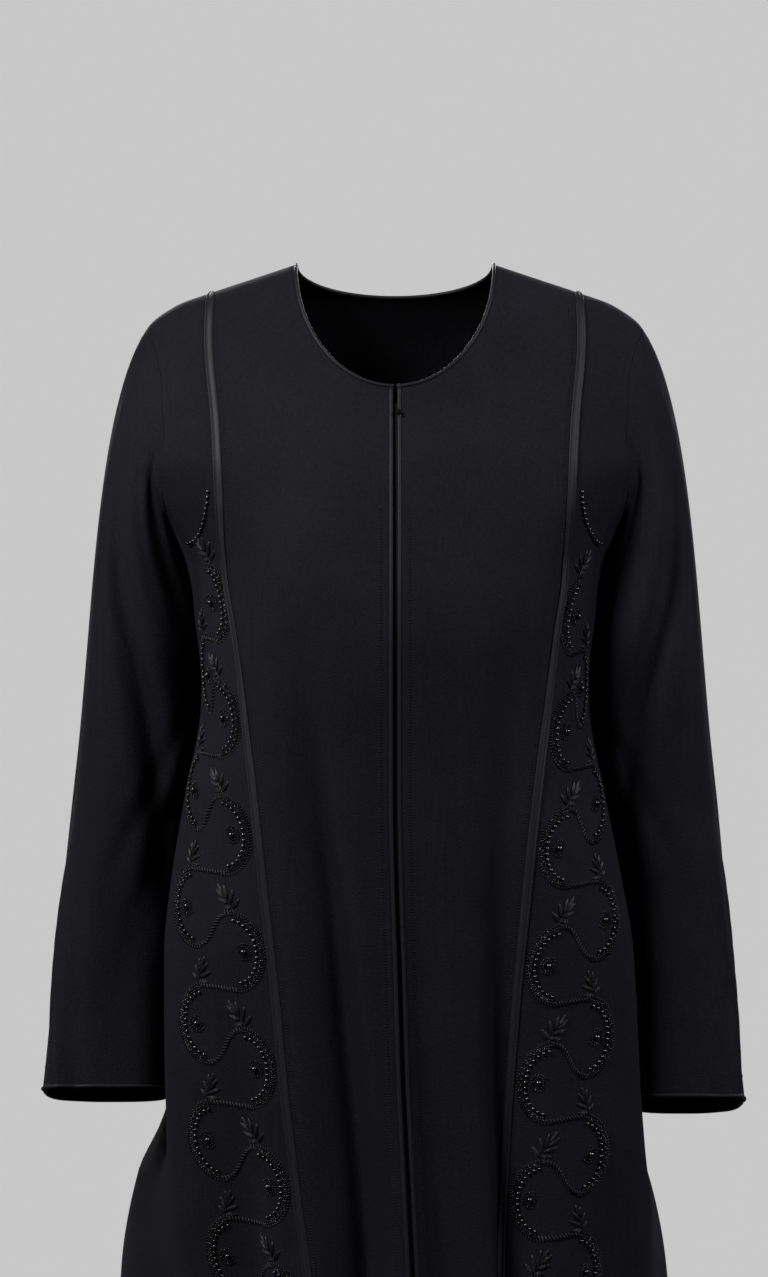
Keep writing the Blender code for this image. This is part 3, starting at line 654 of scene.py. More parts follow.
def thread(name, dark, light, roughness):
    """Rayon embroidery thread: smooth filament that shines, with painted shade where the strands
    dip and painted light on their tops.
    """
    finish = new_finish(
        name,
        {
            "Base Color": colour(dark),
            "Roughness": roughness,
            "Specular IOR Level": 0.4,
            "Sheen Weight": 0.06,
            "Sheen Roughness": 0.3,
        },
    )
    tree = finish.tree
    place = add_node(tree, "ShaderNodeTexCoord").outputs["Object"]
    # a strand is 0.4 mm thick on the real thread and is drawn at 0.9 mm, or it wouldn't show
    strands = add_node(
        tree, "ShaderNodeTexNoise", Vector=place, Scale=1000 / 0.9, Detail=1.0
    ).outputs["Fac"]
    # the colour follows the strands' height: painted shade in the dips and painted light on the
    # tops
    return paint_relief_shading(finish, strands, (strands, 0.3, 0.0002), (0.3, dark), (0.75, light))


def jet():
    """Black pressed glass: nearly no colour of its own, and a sharp point of light on each bead."""
    made, tree, shader = new_finish(
        "black pressed glass",
        {
            "Base Color": colour("#0c0c0e"),
            "Roughness": 0.07,
            "IOR": 1.56,
            "Specular IOR Level": 0.75,
            "Coat Weight": 0.6,
            "Coat Roughness": 0.04,
        },
    )
    place = add_node(tree, "ShaderNodeTexCoord").outputs["Object"]
    flow = add_node(tree, "ShaderNodeTexNoise", Vector=place, Scale=1000 / 1.2, Detail=1.0)
    rough = add_node(
        tree, "ShaderNodeMapRange", Value=flow.outputs["Fac"], To_Min=0.05, To_Max=0.13
    )
    tree.links.new(rough.outputs["Result"], shader.inputs["Roughness"])
    return made


STUFFS = {
    "crepe": (crepe(), "black_crepe"),
    "band": (satin("black satin ribbon", "#1d1d21", "#26262b", 1.4), "black_satin"),
    "piping": (satin("black satin bias piping", "#1b1b1f", "#242429", 1.2), "black_satin"),
    "cord": (thread("black rayon couching cord", "#101012", "#202024", 0.46), "black_satin"),
    "knot": (thread("black silk knots", "#0c0c0e", "#26262a", 0.26), "black_satin"),
    "leaf": (thread("black rayon satin stitch", "#131315", "#26262a", 0.4), "black_satin"),
    "stitch": (thread("black sewing thread", "#08080a", "#151518", 0.5), "black_satin"),
    "bead": (jet(), "black_glass"),
}


def add_mesh(name, points, faces, stuff, smooth_faces=True):
    """A piece of the garment from its points in millimetres; it moves with the frame's one body."""
    mesh = bpy.data.meshes.new(name)
    faces = np.asarray(faces, dtype=np.int32)
    points = np.asarray(points, dtype=np.float64).reshape(-1, 3) * MM
    mesh.vertices.add(len(points))
    mesh.vertices.foreach_set("co", points.ravel())
    corners = faces.shape[1]
    mesh.loops.add(faces.size)
    mesh.loops.foreach_set("vertex_index", faces.ravel())
    mesh.polygons.add(len(faces))
    mesh.polygons.foreach_set("loop_start", np.arange(len(faces), dtype=np.int32) * corners)
    mesh.polygons.foreach_set("use_smooth", np.full(len(faces), smooth_faces))
    mesh.update(calc_edges=True)
    mesh.validate()
    material, slot = STUFFS[stuff]
    mesh.materials.append(material)
    made = bpy.data.objects.new(name, mesh)
    bpy.context.scene.collection.objects.link(made)
    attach(made, "root")
    return made


def grid_faces(rows, columns, start, round_it, flip=False):
    """Quads over a grid of points numbered row by row."""
    last = columns if round_it else columns - 1
    i, j = np.meshgrid(np.arange(rows - 1), np.arange(last), indexing="ij")
    k = (j + 1) % columns
    here, below = i * columns, (i + 1) * columns
    quads = np.stack([here + j, below + j, below + k, here + k], -1).reshape(-1, 4) + start
    return quads[:, ::-1] if flip else quads


def add_wall(name, points, normals, thickness, stuff, side, round_it=False):
    """Cloth with two faces and its cut edges closed; the outer face lies on the points."""
    rows, columns = points.shape[:2]
    count = rows * columns
    both = np.concatenate([points.reshape(-1, 3), (points - normals * thickness).reshape(-1, 3)])
    number = np.arange(count).reshape(rows, columns)
    faces = [
        grid_faces(rows, columns, 0, round_it, flip=side < 0),
        grid_faces(rows, columns, count, round_it, flip=side > 0),
    ]
    rims = [(number[0], True), (number[-1], False)]
    if not round_it:
        rims += [(number[:, 0], False), (number[:, -1], True)]
    for rim, flip in rims:
        after = np.roll(rim, -1) if round_it else rim[1:]
        here = rim if round_it else rim[:-1]
        quads = np.stack([here, here + count, after + count, after], -1)
        faces.append(quads[:, ::-1] if flip == (side > 0) else quads)
    made = add_mesh(name, both, np.concatenate(faces), stuff)
    made.data.set_sharp_from_angle(angle=math.radians(50))
    return made


def ring_points(path, normals, radius, sides, closed):
    """Rings of points round a path that lies on the cloth."""
    path = np.asarray(path, float)
    if closed:
        along = unit(np.roll(path, -1, axis=0) - np.roll(path, 1, axis=0))
    else:
        along = unit(np.gradient(path, axis=0))
    across = unit(np.cross(along, normals))
    up = np.cross(across, along)
    a = np.linspace(0, 2 * np.pi, sides, endpoint=False)[None, :]
    radius = np.asarray(radius, float).reshape(-1, 1)
    return (
        path[:, None, :]
        + across[:, None, :] * (np.cos(a) * radius)[..., None]
        + up[:, None, :] * (np.sin(a) * radius)[..., None]
    )


def tube(path, normals, radius, sides, closed=False):
    """Points and quads of a tube along a path, its ends closed flat."""
    rings = ring_points(path, normals, radius, sides, closed)
    rows = len(rings)
    if closed:
        rings = np.concatenate([rings, rings[:1]])
        rows += 1
    points = rings.reshape(-1, 3)
    faces = [grid_faces(rows, sides, 0, True)]
    if not closed:
        for row, flip in ((0, False), (rows - 1, True)):
            ring = np.arange(sides) + row * sides
            for k in range(1, sides - 2, 2):
                quad = [ring[0], ring[k], ring[k + 1], ring[k + 2]]
                faces.append(np.array([quad[::-1] if flip else quad]))
    return points, np.concatenate(faces)


class Heap:
    """Many small solids that are joined into one piece."""

    def __init__(self):
        self.points, self.faces, self.count = [], [], 0

    def add(self, points, faces):
        points = np.asarray(points).reshape(-1, 3)
        self.points.append(points)
        self.faces.append(np.asarray(faces) + self.count)
        self.count += len(points)

    def sew(self, name, stuff, smooth_faces=True):
        return add_mesh(
            name, np.concatenate(self.points), np.concatenate(self.faces), stuff, smooth_faces
        )


END_OF_BALL = 0.02


def ball(segments, rings):
    """A unit ball of quads, for a bead."""
    points = []
    for i in range(rings + 1):
        a = np.pi * i / rings
        # the two ends stay a hair open so that every face is a quad
        r = max(math.sin(a), END_OF_BALL)
        for j in range(segments):
            b = 2 * np.pi * j / segments
            points.append((r * math.cos(b), r * math.sin(b), math.cos(a)))
    faces = grid_faces(rings + 1, segments, 0, True)
    return np.array(points), faces


BEAD_BALL = ball(9, 6)
SEED_BALL = ball(6, 4)
KNOT = ball(5, 3)
BEAD_FLATNESS = 0.85


def frames(normals):
    """Two directions on the cloth beside each outward direction."""
    down = np.broadcast_to(np.array([0.0, 0.0, -1.0]), normals.shape)
    across = unit(np.cross(normals, down))
    return across, np.cross(across, normals)


def add_beads(heap, places, normals, radius, shape=BEAD_BALL):
    """Beads of one size, seated on the cloth."""
    across, along = frames(normals)
    points, faces = shape
    for place, x, y, z in zip(places, across, along, normals):
        turned = points[:, :1] * x + points[:, 1:2] * y + points[:, 2:] * z * BEAD_FLATNESS
        heap.add(place + radius * turned, faces)


# Panels


def across_centre(neck_points, shoulder_points):
    """Shares across a centre panel: the neckline's part, then the shoulder's."""
    shoulder = np.linspace(NECK_SHARE, 1, shoulder_points)[1:]
    return np.concatenate([np.linspace(0, NECK_SHARE, neck_points), shoulder])


def build_fronts():
    across = across_centre(FRONT_NECK_POINTS, FRONT_SHOULDER_POINTS)
    outward = np.linspace(0, 1, SIDE_FRONT_POINTS)
    on_neck, on_shoulder = np.s_[:FRONT_NECK_POINTS], np.s_[FRONT_NECK_POINTS:]
    made = {}
    for side, word in WORDS.items():
        points, normals = lay(*centre_panel("front", across), "front", side)
        made["edge", side] = points[:, 0].copy(), normals[:, 0], points[:, 1].copy()
        top, next_row = points[0], points[1]
        made["neck", side] = top[on_neck].copy(), normals[0, on_neck], next_row[on_neck].copy()
        draw_in(points, "outer", SEAM_GAP / 2)
        top[on_shoulder] += unit(next_row[on_shoulder] - top[on_shoulder]) * SEAM_GAP / 2
        piece = add_wall("cloth_front_" + word, points, normals, CLOTH, "crepe", side)
        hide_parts("front_" + word)
        made["front", side] = piece
        points, normals = lay(*outer_panel("front", outward), "front", side)
        for edge in ("inner", "outer", "top"):
            draw_in(points, edge, SEAM_GAP / 2)
        piece = add_wall("cloth_side_front_" + word, points, normals, CLOTH, "crepe", side)
        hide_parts("side_front_" + word)
        made["side_front", side] = piece
    return made


def build_back():
    across = across_centre(BACK_NECK_POINTS, BACK_SHOULDER_POINTS)
    outward = np.linspace(0, 1, BACK_OUTER_POINTS)
    halves = []
    for side in (-1, 1):
        centre = lay(*centre_panel("back", across), "back", side)
        outer = lay(*outer_panel("back", outward), "back", side)
        halves.append([np.concatenate([c[:, :-1], o], axis=1) for c, o in zip(centre, outer)])
    points, normals = (
        np.concatenate([halves[0][i][:, ::-1], halves[1][i][:, 1:]], axis=1) for i in (0, 1)
    )
    middle = points.shape[1] // 2
    on_neck = np.s_[middle - BACK_NECK_POINTS + 1 : middle + BACK_NECK_POINTS]
    neck = points[0, on_neck].copy(), normals[0, on_neck], points[1, on_neck].copy()
    for edge in ("inner", "outer"):
        draw_in(points, edge, SEAM_GAP / 2)
    top = points[0].copy()
    draw_in(points, "top", SEAM_GAP / 2)
    points[0, on_neck] = top[on_neck]
    piece = add_wall("cloth_back", points, normals, CLOTH, "crepe", 1)
    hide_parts("back")
    return piece, neck


def beside(edge, normals, inside, distance, closed=False):
    """A line outside an edge of a panel, for the middle of a piping."""
    if closed:
        along = np.roll(edge, -1, axis=0) - np.roll(edge, 1, axis=0)
    else:
        along = np.gradient(edge, axis=0)
    out = unit(np.cross(along, normals))
    out *= np.where(np.sum(out * (inside - edge), axis=1) > 0, -1, 1)[:, None]
    return edge + out * distance - normals * PIPING_SINK


def add_piping(node, path, normals, sides, closed=False):
    """A satin piping along its middle line, in place of the frame's plain one."""
    name = "satin_" + node
    points, faces = tube(path, normals, PIPING_RADIUS, sides, closed)
    piece = add_mesh(name, points, faces, "piping")
    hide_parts(node)
    return piece


def resample(path, step):
    """The same line with points a step apart."""
    path = np.asarray(path, float)
    lengths = np.concatenate([[0], np.cumsum(np.linalg.norm(np.diff(path, axis=0), axis=1))])
    places = np.linspace(0, lengths[-1], max(int(lengths[-1] / step), 2) + 1)
    return np.stack([np.interp(places, lengths, path[:, k]) for k in range(path.shape[1])], -1)


# Sleeves


def armhole_ring(side, count):
    """Points, normals and leaving directions round the armhole, by the sleeve's turn."""
    k = np.arange(count)
    front = k <= count // 2
    share = np.where(front, k / (count / 2), (count - k) / (count / 2))
    front_lean, front_drop = armhole_lean(share, "front")
    back_lean, back_drop = armhole_lean(share, "back")
    angle = side * np.where(front, front_lean, 180 - back_lean)
    drop = np.where(front, front_drop, back_drop)
    points, normals = body(angle, drop), body_normal(angle, drop)
    along = np.roll(points, -1, axis=0) - np.roll(points, 1, axis=0)
    out = unit(np.cross(along, normals))
    out *= np.where(out[:, :1] * side > 0, 1, -1)
    # smoothed round the ring, or the cap would cross itself at the shoulder's tight bend
    for _ in range(LEAVING_ROUNDS):
        out = unit(np.roll(out, 1, axis=0) + 2 * out + np.roll(out, -1, axis=0))
    return points, normals, out


def sleeve_section(turn, drop, side):
    t = np.radians(turn)
    narrowing = mix(1.0, SLEEVE_NARROWING[side], ease((drop - NARROWS_FROM) / NARROWS_OVER))
    half_width = read(SLEEVE, "half_width", drop) * narrowing
    half_depth = read(SLEEVE, "half_depth", drop) / np.sqrt(narrowing)
    power = read(SLEEVE, "squareness", drop)
    flatter = mix(1.0, SLEEVE_FRONT_FLATTER, ease((drop - FLATTER_FROM) / FLATTER_OVER))
    power = np.where(np.sin(t) > 0, power * flatter, power)
    reach = (np.abs(np.cos(t)) / half_width) ** power + (np.abs(np.sin(t)) / half_depth) ** power
    radius = reach ** (-1 / power)
    centre = read(SLEEVE, "outer", drop) - half_width * (1 + 1 / narrowing) / 2
    forward = radius * np.sin(t)
    lift = read(SLEEVE, "tilt", drop) * forward
    x = side * (centre + radius * np.cos(t))
    return np.stack([x, read(SLEEVE, "centre_y", drop) - forward, lift - drop], -1)


def pull_strength(pulls, turn):
    shoulder_share = (1 + np.cos(np.radians(turn))) / 2
    return mix(pulls[0], pulls[1], shoulder_share**PULL_SHAPE)[:, None]


def sleeve_fold(turn, drop):
    total = np.zeros_like(turn)
    for fold in SLEEVE_FOLDS + SLEEVE_CREASES:
        share = np.clip((drop - fold.start) / (fold.end - fold.start), 0, 1)
        middle = mix(fold.turn_start, fold.turn_end, share)
        to_cuff = fold.end >= FOLD_REACHES_CUFF
        strength = ease(share * 2) if to_cuff else np.sin(np.pi * share)
        total = total + fold.depth * strength * trough(turn_between(turn, middle), fold.spread)
    return total


def build_sleeve(side):
    """A sleeve from its armhole to its cuff."""
    turn = 360 * np.arange(SLEEVE_POINTS) / SLEEVE_POINTS
    start, start_normals, leaving = armhole_ring(side, SLEEVE_POINTS)
    end = sleeve_section(turn, BICEP_DROP, side)
    below = sleeve_section(turn, BICEP_DROP + BELOW_BICEP, side)
    falling = unit(below - end) * pull_strength(BICEP_PULL, turn)
    rising = leaving * pull_strength(CAP_PULL, turn)
    shares = np.linspace(0, 1, CAP_ROWS + 1)
    cap = np.stack([hermite(start, rising, end, falling, u) for u in shares])
    drops = np.linspace(BICEP_DROP, CUFF_DROPS[side], ARM_ROWS + 1)[1:]
    arm = np.stack([sleeve_section(turn, drop, side) for drop in drops])
    rings = np.concatenate([cap, arm])
    centres = rings.mean(axis=1, keepdims=True)
    folds = sleeve_fold(np.broadcast_to(turn, rings.shape[:2]), -rings[..., 2])
    folds[0] = 0
    rings = rings + unit(centres - rings) * folds[..., None]
    down = np.gradient(rings, axis=0)
    around = np.roll(rings, -1, axis=1) - np.roll(rings, 1, axis=1)
    normals = unit(np.cross(around, down)) * side
    normals[0] = start_normals
    rings[0] = rings[0] + unit(rings[1] - rings[0]) * SEAM_GAP / 2
    word = WORDS[side]
    piece = add_wall("cloth_sleeve_" + word, rings, normals, CLOTH, "crepe", -side, round_it=True)
    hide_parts("sleeve_" + word)
    cuff = beside(rings[-1], normals[-1], rings[-2], PIPING_SEAT, closed=True)
    piping = add_piping("cuff_piping_" + word, cuff, normals[-1], PIPING_SIDES, closed=True)
    return piece, piping, rings, normals


# Trimmings


SEAM_STEP = 0.5  # degrees


def seam_line(side, drops, away):
    """Points and outward directions along the panel seam, or so far outward beside it."""
    lean = division_lean(drops, "front")
    here = body(side * lean, drops)
    beyond = body(side * (lean + SEAM_STEP), drops)
    per_degree = np.linalg.norm(beyond - here, axis=-1) / SEAM_STEP
    angle = side * (lean + away / per_degree)
    return body(angle, drops), body_normal(angle, drops)


# The ribbon across its width: crowned, with one fine cord along its outer edge
BandPoint = namedtuple("BandPoint", "away lift")
BAND_SECTION = (
    BandPoint(-3.5, 0.35),
    BandPoint(-3.35, 0.85),
    BandPoint(-2.8, 1.1),
    BandPoint(-1.6, 1.2),
    BandPoint(0.0, 1.22),
    BandPoint(1.2, 1.1),
    BandPoint(1.55, 0.8),
    BandPoint(1.85, 1.3),
    BandPoint(2.4, 1.75),
    BandPoint(2.9, 1.7),
    BandPoint(3.35, 1.3),
    BandPoint(3.5, 0.7),
    BandPoint(3.5, 0.35),
)
BAND_UNDERSIDE = (
    BandPoint(3.4, 0.3),
    BandPoint(0.0, 0.3),
    BandPoint(-3.4, 0.3),
)
BAND_STEP = 4.0


def build_band(side):
    """The satin ribbon over a panel seam, turned under at both sides."""
    between = np.arange(SEAM_TOP_DROP + 3, LENGTH, BAND_STEP)
    drops = np.concatenate([[SEAM_TOP_DROP + 0.2], between, [LENGTH]])
    rows = []
    for place in BAND_SECTION + BAND_UNDERSIDE:
        points, normals = seam_line(side, drops, place.away)
        rows.append(points + normals * place.lift)
    ring = np.stack(rows, axis=1)
    count, columns = ring.shape[:2]
    faces = [grid_faces(count, columns, 0, True, flip=side < 0)]
    for row, flip in ((0, False), (count - 1, True)):
        here = np.arange(columns) + row * columns
        for k in range(columns // 2 - 1):
            quad = [here[k], here[k + 1], here[columns - 2 - k], here[columns - 1 - k]]
            faces.append(np.array([quad if flip == (side < 0) else quad[::-1]]))
    piece = add_mesh("satin_band_" + WORDS[side], ring, np.concatenate(faces), "band")
    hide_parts("seam_band_" + WORDS[side])
    return piece


StitchRing = namedtuple("StitchRing", "share rise")  # along the stitch and up from the cloth
STITCH_RINGS = (
    StitchRing(-0.5, 0.0),
    StitchRing(-0.25, 0.55),
    StitchRing(0.25, 0.55),
    StitchRing(0.5, 0.0),
)
# A stitch is turned across its line by so many degrees
Stitch = namedtuple("Stitch", "length spacing width turn", defaults=(0,))
LADDER_STITCH = Stitch(2.6, 2.1, 0.42, 90)
EDGE_STITCH = Stitch(3.4, 2.1, 0.42, 90)
BAND_STITCH = Stitch(1.4, 2.6, 0.4)
ARMHOLE_STITCH = Stitch(1.6, 3.2, 0.4)
HEM_STITCH = Stitch(1.6, 3.8, 0.42)
CUFF_STITCH = Stitch(1.6, 3.3, 0.42)
STITCH_LIFT = 0.12


def stitches(heap, path, normals, stitch):
    """A line of short raised stitches along a path."""
    line = resample(np.concatenate([path, normals], axis=1), stitch.spacing)
    places, outs = line[:, :3], unit(line[:, 3:])
    along = unit(np.gradient(places, axis=0))
    across = unit(np.cross(along, outs))
    turn = math.radians(stitch.turn)
    heading = along * math.cos(turn) + across * math.sin(turn)
    sideways = unit(np.cross(heading, outs))
    faces = grid_faces(len(STITCH_RINGS), 4, 0, True)
    for place, out, x, y in zip(places, outs, heading, sideways):
        rings = []
        for ring in STITCH_RINGS:
            up = out * (ring.rise * stitch.width * 0.6)
            middle = place + x * (ring.share * stitch.length) + up
            reach = stitch.width * (0.25 + ring.rise) * 0.5
            rings += [middle + y * reach, middle + out * reach]
            rings += [middle - y * reach, middle - out * reach]
        heap.add(np.array(rings), faces)


LADDER_TOP = 30.0
LADDER_BESIDE_BAND = -6.2  # from the band's middle, towards the front
STITCHES_BESIDE_BAND = 5.0
EDGE_STITCHES_TOP = 190.0
EDGE_STITCHES_X = 10.5
STITCHES_END = LENGTH - 4
ARMHOLE_STITCHES_IN = 1.3  # degrees
HEM_STITCHES_DROP = LENGTH - 25.0


def build_stitching(side):
    """Ladder stitches beside the band and the front edge, and prick stitches at armhole and hem."""
    heap = Heap()

    def sew_at(angle, drop, stitch):
        points, normals = body(angle, drop), body_normal(angle, drop)
        stitches(heap, points + normals * STITCH_LIFT, normals, stitch)

    drops = np.arange(LADDER_TOP, STITCHES_END, 6.0)
    for away, stitch in (
        (LADDER_BESIDE_BAND, LADDER_STITCH),
        (STITCHES_BESIDE_BAND, BAND_STITCH),
    ):
        points, normals = seam_line(side, drops, away)
        stitches(heap, points + normals * STITCH_LIFT, normals, stitch)
    drops = np.arange(EDGE_STITCHES_TOP, STITCHES_END, 8.0)
    lean = section_lean(np.full(len(drops), EDGE_STITCHES_X), drops, "front")
    sew_at(side * lean, drops, EDGE_STITCH)
    for face in ("front", "back"):
        lean, drop = armhole_lean(np.linspace(0.02, 0.98, 60), face)
        lean = lean - ARMHOLE_STITCHES_IN
        sew_at(side * (lean if face == "front" else 180 - lean), drop, ARMHOLE_STITCH)
    sew_at(side * np.linspace(2.0, 178.0, 240), HEM_STITCHES_DROP, HEM_STITCH)
    heap.sew("ladder_stitches_" + WORDS[side], "stitch")


CUFF_STITCH_ROW = -5  # of the sleeve's rings
CAP_STITCH_ROW = 2


def build_cuff_stitching(side, rings, normals):
    """A line of machine stitches round the cuff, and another round the cap seam."""
    heap = Heap()
    for row in (CUFF_STITCH_ROW, CAP_STITCH_ROW):
        ring = np.concatenate([rings[row], rings[row][:1]])
        out = np.concatenate([normals[row], normals[row][:1]])
        stitches(heap, ring + out * STITCH_LIFT, out, CUFF_STITCH)
    heap.sew("cuff_stitches_" + WORDS[side], "stitch")


# The embroidered vine on each side front


MAP_TOP = 90.0
MAP_STEP = 2.5
MAP_WIDTH = 170.0
MAP_LEANS = np.linspace(-6, 70, 153)  # degrees beyond the panel seam


def build_map(side):
    """The side front laid flat: points and outward directions for each drop, and for each
    millimetre outward from the panel seam along the cloth."""
    drops = np.arange(MAP_TOP, LENGTH + 0.1, MAP_STEP)
    base = division_lean(drops, "front")
    leans = base[:, None] + MAP_LEANS[None, :]
    points = body(side * leans, drops[:, None])
    steps = np.linalg.norm(np.diff(points, axis=1), axis=-1)
    lengths = np.concatenate([np.zeros((len(drops), 1)), np.cumsum(steps, axis=1)], axis=1)
    zero = np.array([np.interp(b, row, lens) for b, row, lens in zip(base, leans, lengths)])
    away = np.arange(0.0, MAP_WIDTH + 1)
    rows = zip(lengths - zero[:, None], leans)
    angle = side * np.stack([np.interp(away, lens, row) for lens, row in rows])
    drop = drops[:, None]
    return np.concatenate([body(angle, drop), body_normal(angle, drop)], axis=-1)


MAPS = {side: build_map(side) for side in WORDS}


def on_side_front(side, away, drop, lift):
    """Points and outward directions on a side front, from the distance beyond the band's middle."""
    table = MAPS[side]
    away, drop = np.broadcast_arrays(np.asarray(away, float), np.asarray(drop, float))
    i = np.clip((drop - MAP_TOP) / MAP_STEP, 0, table.shape[0] - 1.001)
    j = np.clip(away, 0, table.shape[1] - 1.001)
    i0, j0 = i.astype(int), j.astype(int)
    fi, fj = (i - i0)[..., None], (j - j0)[..., None]
    found = (
        table[i0, j0] * (1 - fi) * (1 - fj)
        + table[i0 + 1, j0] * fi * (1 - fj)
        + table[i0, j0 + 1] * (1 - fi) * fj
        + table[i0 + 1, j0 + 1] * fi * fj
    )
    normals = unit(found[..., 3:])
    return found[..., :3] + normals * np.asarray(lift)[..., None], normals


# The rule of the vine: a scroll whose loops bulge in turn towards the band and away from it. A
# loop's middle lies so far out from the band and down, and it bulges half_out from there.
VINE_TOP = 264.0
VINE_PITCH = 86.0
VINE_LAST = 1330.0
LOOP_HALF_DOWN = 28.0
OUTER_LAG = 54.0  # of an outer loop below the inner one before it
SIDE_LAG = {-1: -5.0, 1: 5.0}
NARROW_LOOPS = (0.62, 0.86)  # of the uppermost two, where the cloth is narrow
INNER_OUT = 30.5
INNER_HALF_OUT = 23.5
OUTER_OUT = 60.0
OUTER_HALF_OUT = 22.0
WANDER = 1.5  # no two loops of hand embroidery lie quite alike
Loop = namedtuple("Loop", "bulge out half_out drop")  # bulge is -1 towards the band


def vine_loops(side):
    """Every loop of a side, from the top."""
    loops = []
    drop = VINE_TOP + SIDE_LAG[side]
    number = 0
    while drop < VINE_LAST:
        narrow = NARROW_LOOPS[number] if number < len(NARROW_LOOPS) else 1.0
        wander = WANDER * math.sin(number * 1.7)
        out = INNER_OUT * narrow + wander * 0.3
        loops.append(Loop(-1, out, INNER_HALF_OUT * narrow, drop))
        if drop + OUTER_LAG < VINE_LAST:
            out = OUTER_OUT * narrow + wander
            loops.append(Loop(1, out, OUTER_HALF_OUT * narrow, drop + OUTER_LAG))
        drop += VINE_PITCH
        number += 1
    return loops


def arc(loop, start, end, inset=0.0, count=40):
    """Part of a loop's outline: 0 is its top, 90 the middle of its bulge, 180 its foot."""
    a = np.radians(np.linspace(start, end, count))
    out = loop.out + loop.bulge * (loop.half_out - inset) * np.sin(a)
    drop = loop.drop - (LOOP_HALF_DOWN - inset) * np.cos(a)
    return np.stack([out, drop], -1)


def links(loops):
    """The stretches between a loop's foot and the next one's top, level where they meet them."""
    found = []
    u = np.linspace(0, 1, 16)[:, None]
    for before, after in zip(loops, loops[1:]):
        start, end = arc(before, 180, 180, count=1), arc(after, 0, 0, count=1)
        level = (end - start) * np.array([[1.5, 0.0]])
        found.append(hermite(start, level, end, level, u))
    return found


def laid(side, line, step, lift):
    """A flat line of distances out and drops, laid on the cloth with a point at each step."""
    line = resample(line, step)
    return on_side_front(side, line[:, 0], line[:, 1], lift)


THREAD_SIDES = 5
STRAND_RADIUS = 0.3
STRANDS_APART = 0.35
TWIST = 3.2  # from one turn of the strands to the next


def wind(heap, side, line, lift):
    """Two strands that wind round each other along a line."""
    points, normals = laid(side, line, TWIST / 4, lift)
    along = unit(np.gradient(points, axis=0))
    across = unit(np.cross(along, normals))
    lengths = np.concatenate([[0], np.cumsum(np.linalg.norm(np.diff(points, axis=0), axis=1))])
    for phase in (0.0, np.pi):
        a = 2 * np.pi * lengths / TWIST + phase
        winding = (
            points
            + across * (np.cos(a) * STRANDS_APART)[:, None]
            + normals * (np.sin(a) * STRANDS_APART * 0.6)[:, None]
        )
        heap.add(*tube(winding, normals, STRAND_RADIUS, THREAD_SIDES))


LEAF_THREADS = (-0.8, 0.0, 0.8)  # shares of its half width
LEAF_WIDTH = 2.1


def leaf(heap, side, foot, heading, length, width):
    """A satin-stitch leaf: threads side by side from its foot to its tip, plump in the middle."""
    u = np.linspace(0.0, 1.0, 6)
    shape = np.sin(np.pi * np.clip(u, 0.02, 0.97) ** 0.85) ** 0.9
    ahead = np.array([math.sin(heading), -math.cos(heading)])
    aside = np.array([math.cos(heading), math.sin(heading)])
    for place in LEAF_THREADS:
        line = foot + np.outer(u * length, ahead) + np.outer(shape * place * width / 2, aside)
        lift = 0.4 + shape * (0.75 - 0.4 * abs(place))
        points, normals = on_side_front(side, line[:, 0], line[:, 1], lift)
        heap.add(*tube(points, normals, 0.14 + 0.34 * shape, 4))


LeafPlace = namedtuple("LeafPlace", "along turn length")
SPRIG = (
    LeafPlace(0.5, -70, 9.5),
    LeafPlace(1.5, 62, 7.0),
    LeafPlace(3.5, -46, 11.0),
    LeafPlace(5.0, 40, 9.0),
    LeafPlace(7.0, -22, 11.0),
    LeafPlace(8.5, 20, 10.0),
    LeafPlace(10.0, 0, 10.5),
)
STEM_LENGTH = 12.5
STEM_RADIUS = 0.4


def sprig(heap, side, foot, heading, size):
    """A stem whose leaves stand off it in turn, the last one at its tip."""
    ahead = np.array([math.sin(heading), -math.cos(heading)])
    for place in SPRIG:
        base = foot + ahead * place.along * size
        turned = heading + math.radians(place.turn)
        leaf(heap, side, base, turned, place.length * size, LEAF_WIDTH * size)
    stem = foot + np.outer(np.linspace(-0.15, 1, 8) * STEM_LENGTH * size, ahead)
    points, normals = on_side_front(side, stem[:, 0], stem[:, 1], STEM_RADIUS)
    heap.add(*tube(points, normals, STEM_RADIUS, THREAD_SIDES))


def bead_line(heap, side, line, spacing, radius, shape=BEAD_BALL):
    """Beads at even steps along a line."""
    points, normals = laid(side, line, spacing, radius * 0.8)
    add_beads(heap, points, normals, radius, shape=shape)


def circle(out, drop, radius, start, share):
    """A round line, or the share of one from its start in degrees."""
    a = np.radians(start) + np.linspace(0, 2 * np.pi * share, 40)
    return np.stack([out + radius * np.cos(a), drop + radius * np.sin(a)], -1)


# Across a loop: slanted stitches lie outside it, then come rows of close knots, with a few seed
# beads on them, and a row of spaced beads inside. A row's start and end are in degrees.
ARC_COUCHING = Stitch(3.0, 2.2, 1.1, 58)
ARC_COUCHING_PLACE = (-6, 186, -1.6)  # its start, end and inset
ARC_COUCHING_LIFT = 0.3
LINK_COUCHING = Stitch(4.8, 2.4, 1.5, 56)
LINK_COUCHING_LIFT = 0.35
COUCHING_STEP = 1.6
ArcRow = namedtuple("ArcRow", "start end inset spacing radius")
KNOT_ROWS = (
    ArcRow(4, 176, 0.4, 1.7, 0.85),
    ArcRow(10, 170, 2.2, 1.7, 0.85),
)
SEED_ROWS = (
    ArcRow(18, 160, 1.3, 4.1, 0.75),
    ArcRow(30, 150, -0.5, 5.7, 0.65),
)
BEAD_ROW = ArcRow(10, 168, 4.6, 4.2, 1.35)
EYE_INSET = 14.5
EYE_RADIUS = 2.2
EYE_LIFT = 1.9
EYE_OPENS = {-1: 90, 1: -90}  # by the way the loop bulges
Swirl = namedtuple("Swirl", "radius start share spacing size")  # starts beside its opening
KNOT_SWIRLS = (
    Swirl(3.9, 0, 1.0, 1.8, 0.75),
    Swirl(6.0, -20, 0.7, 1.9, 0.75),
)
SEED_SWIRL = Swirl(5.0, 20, 0.42, 5.0, 0.7)
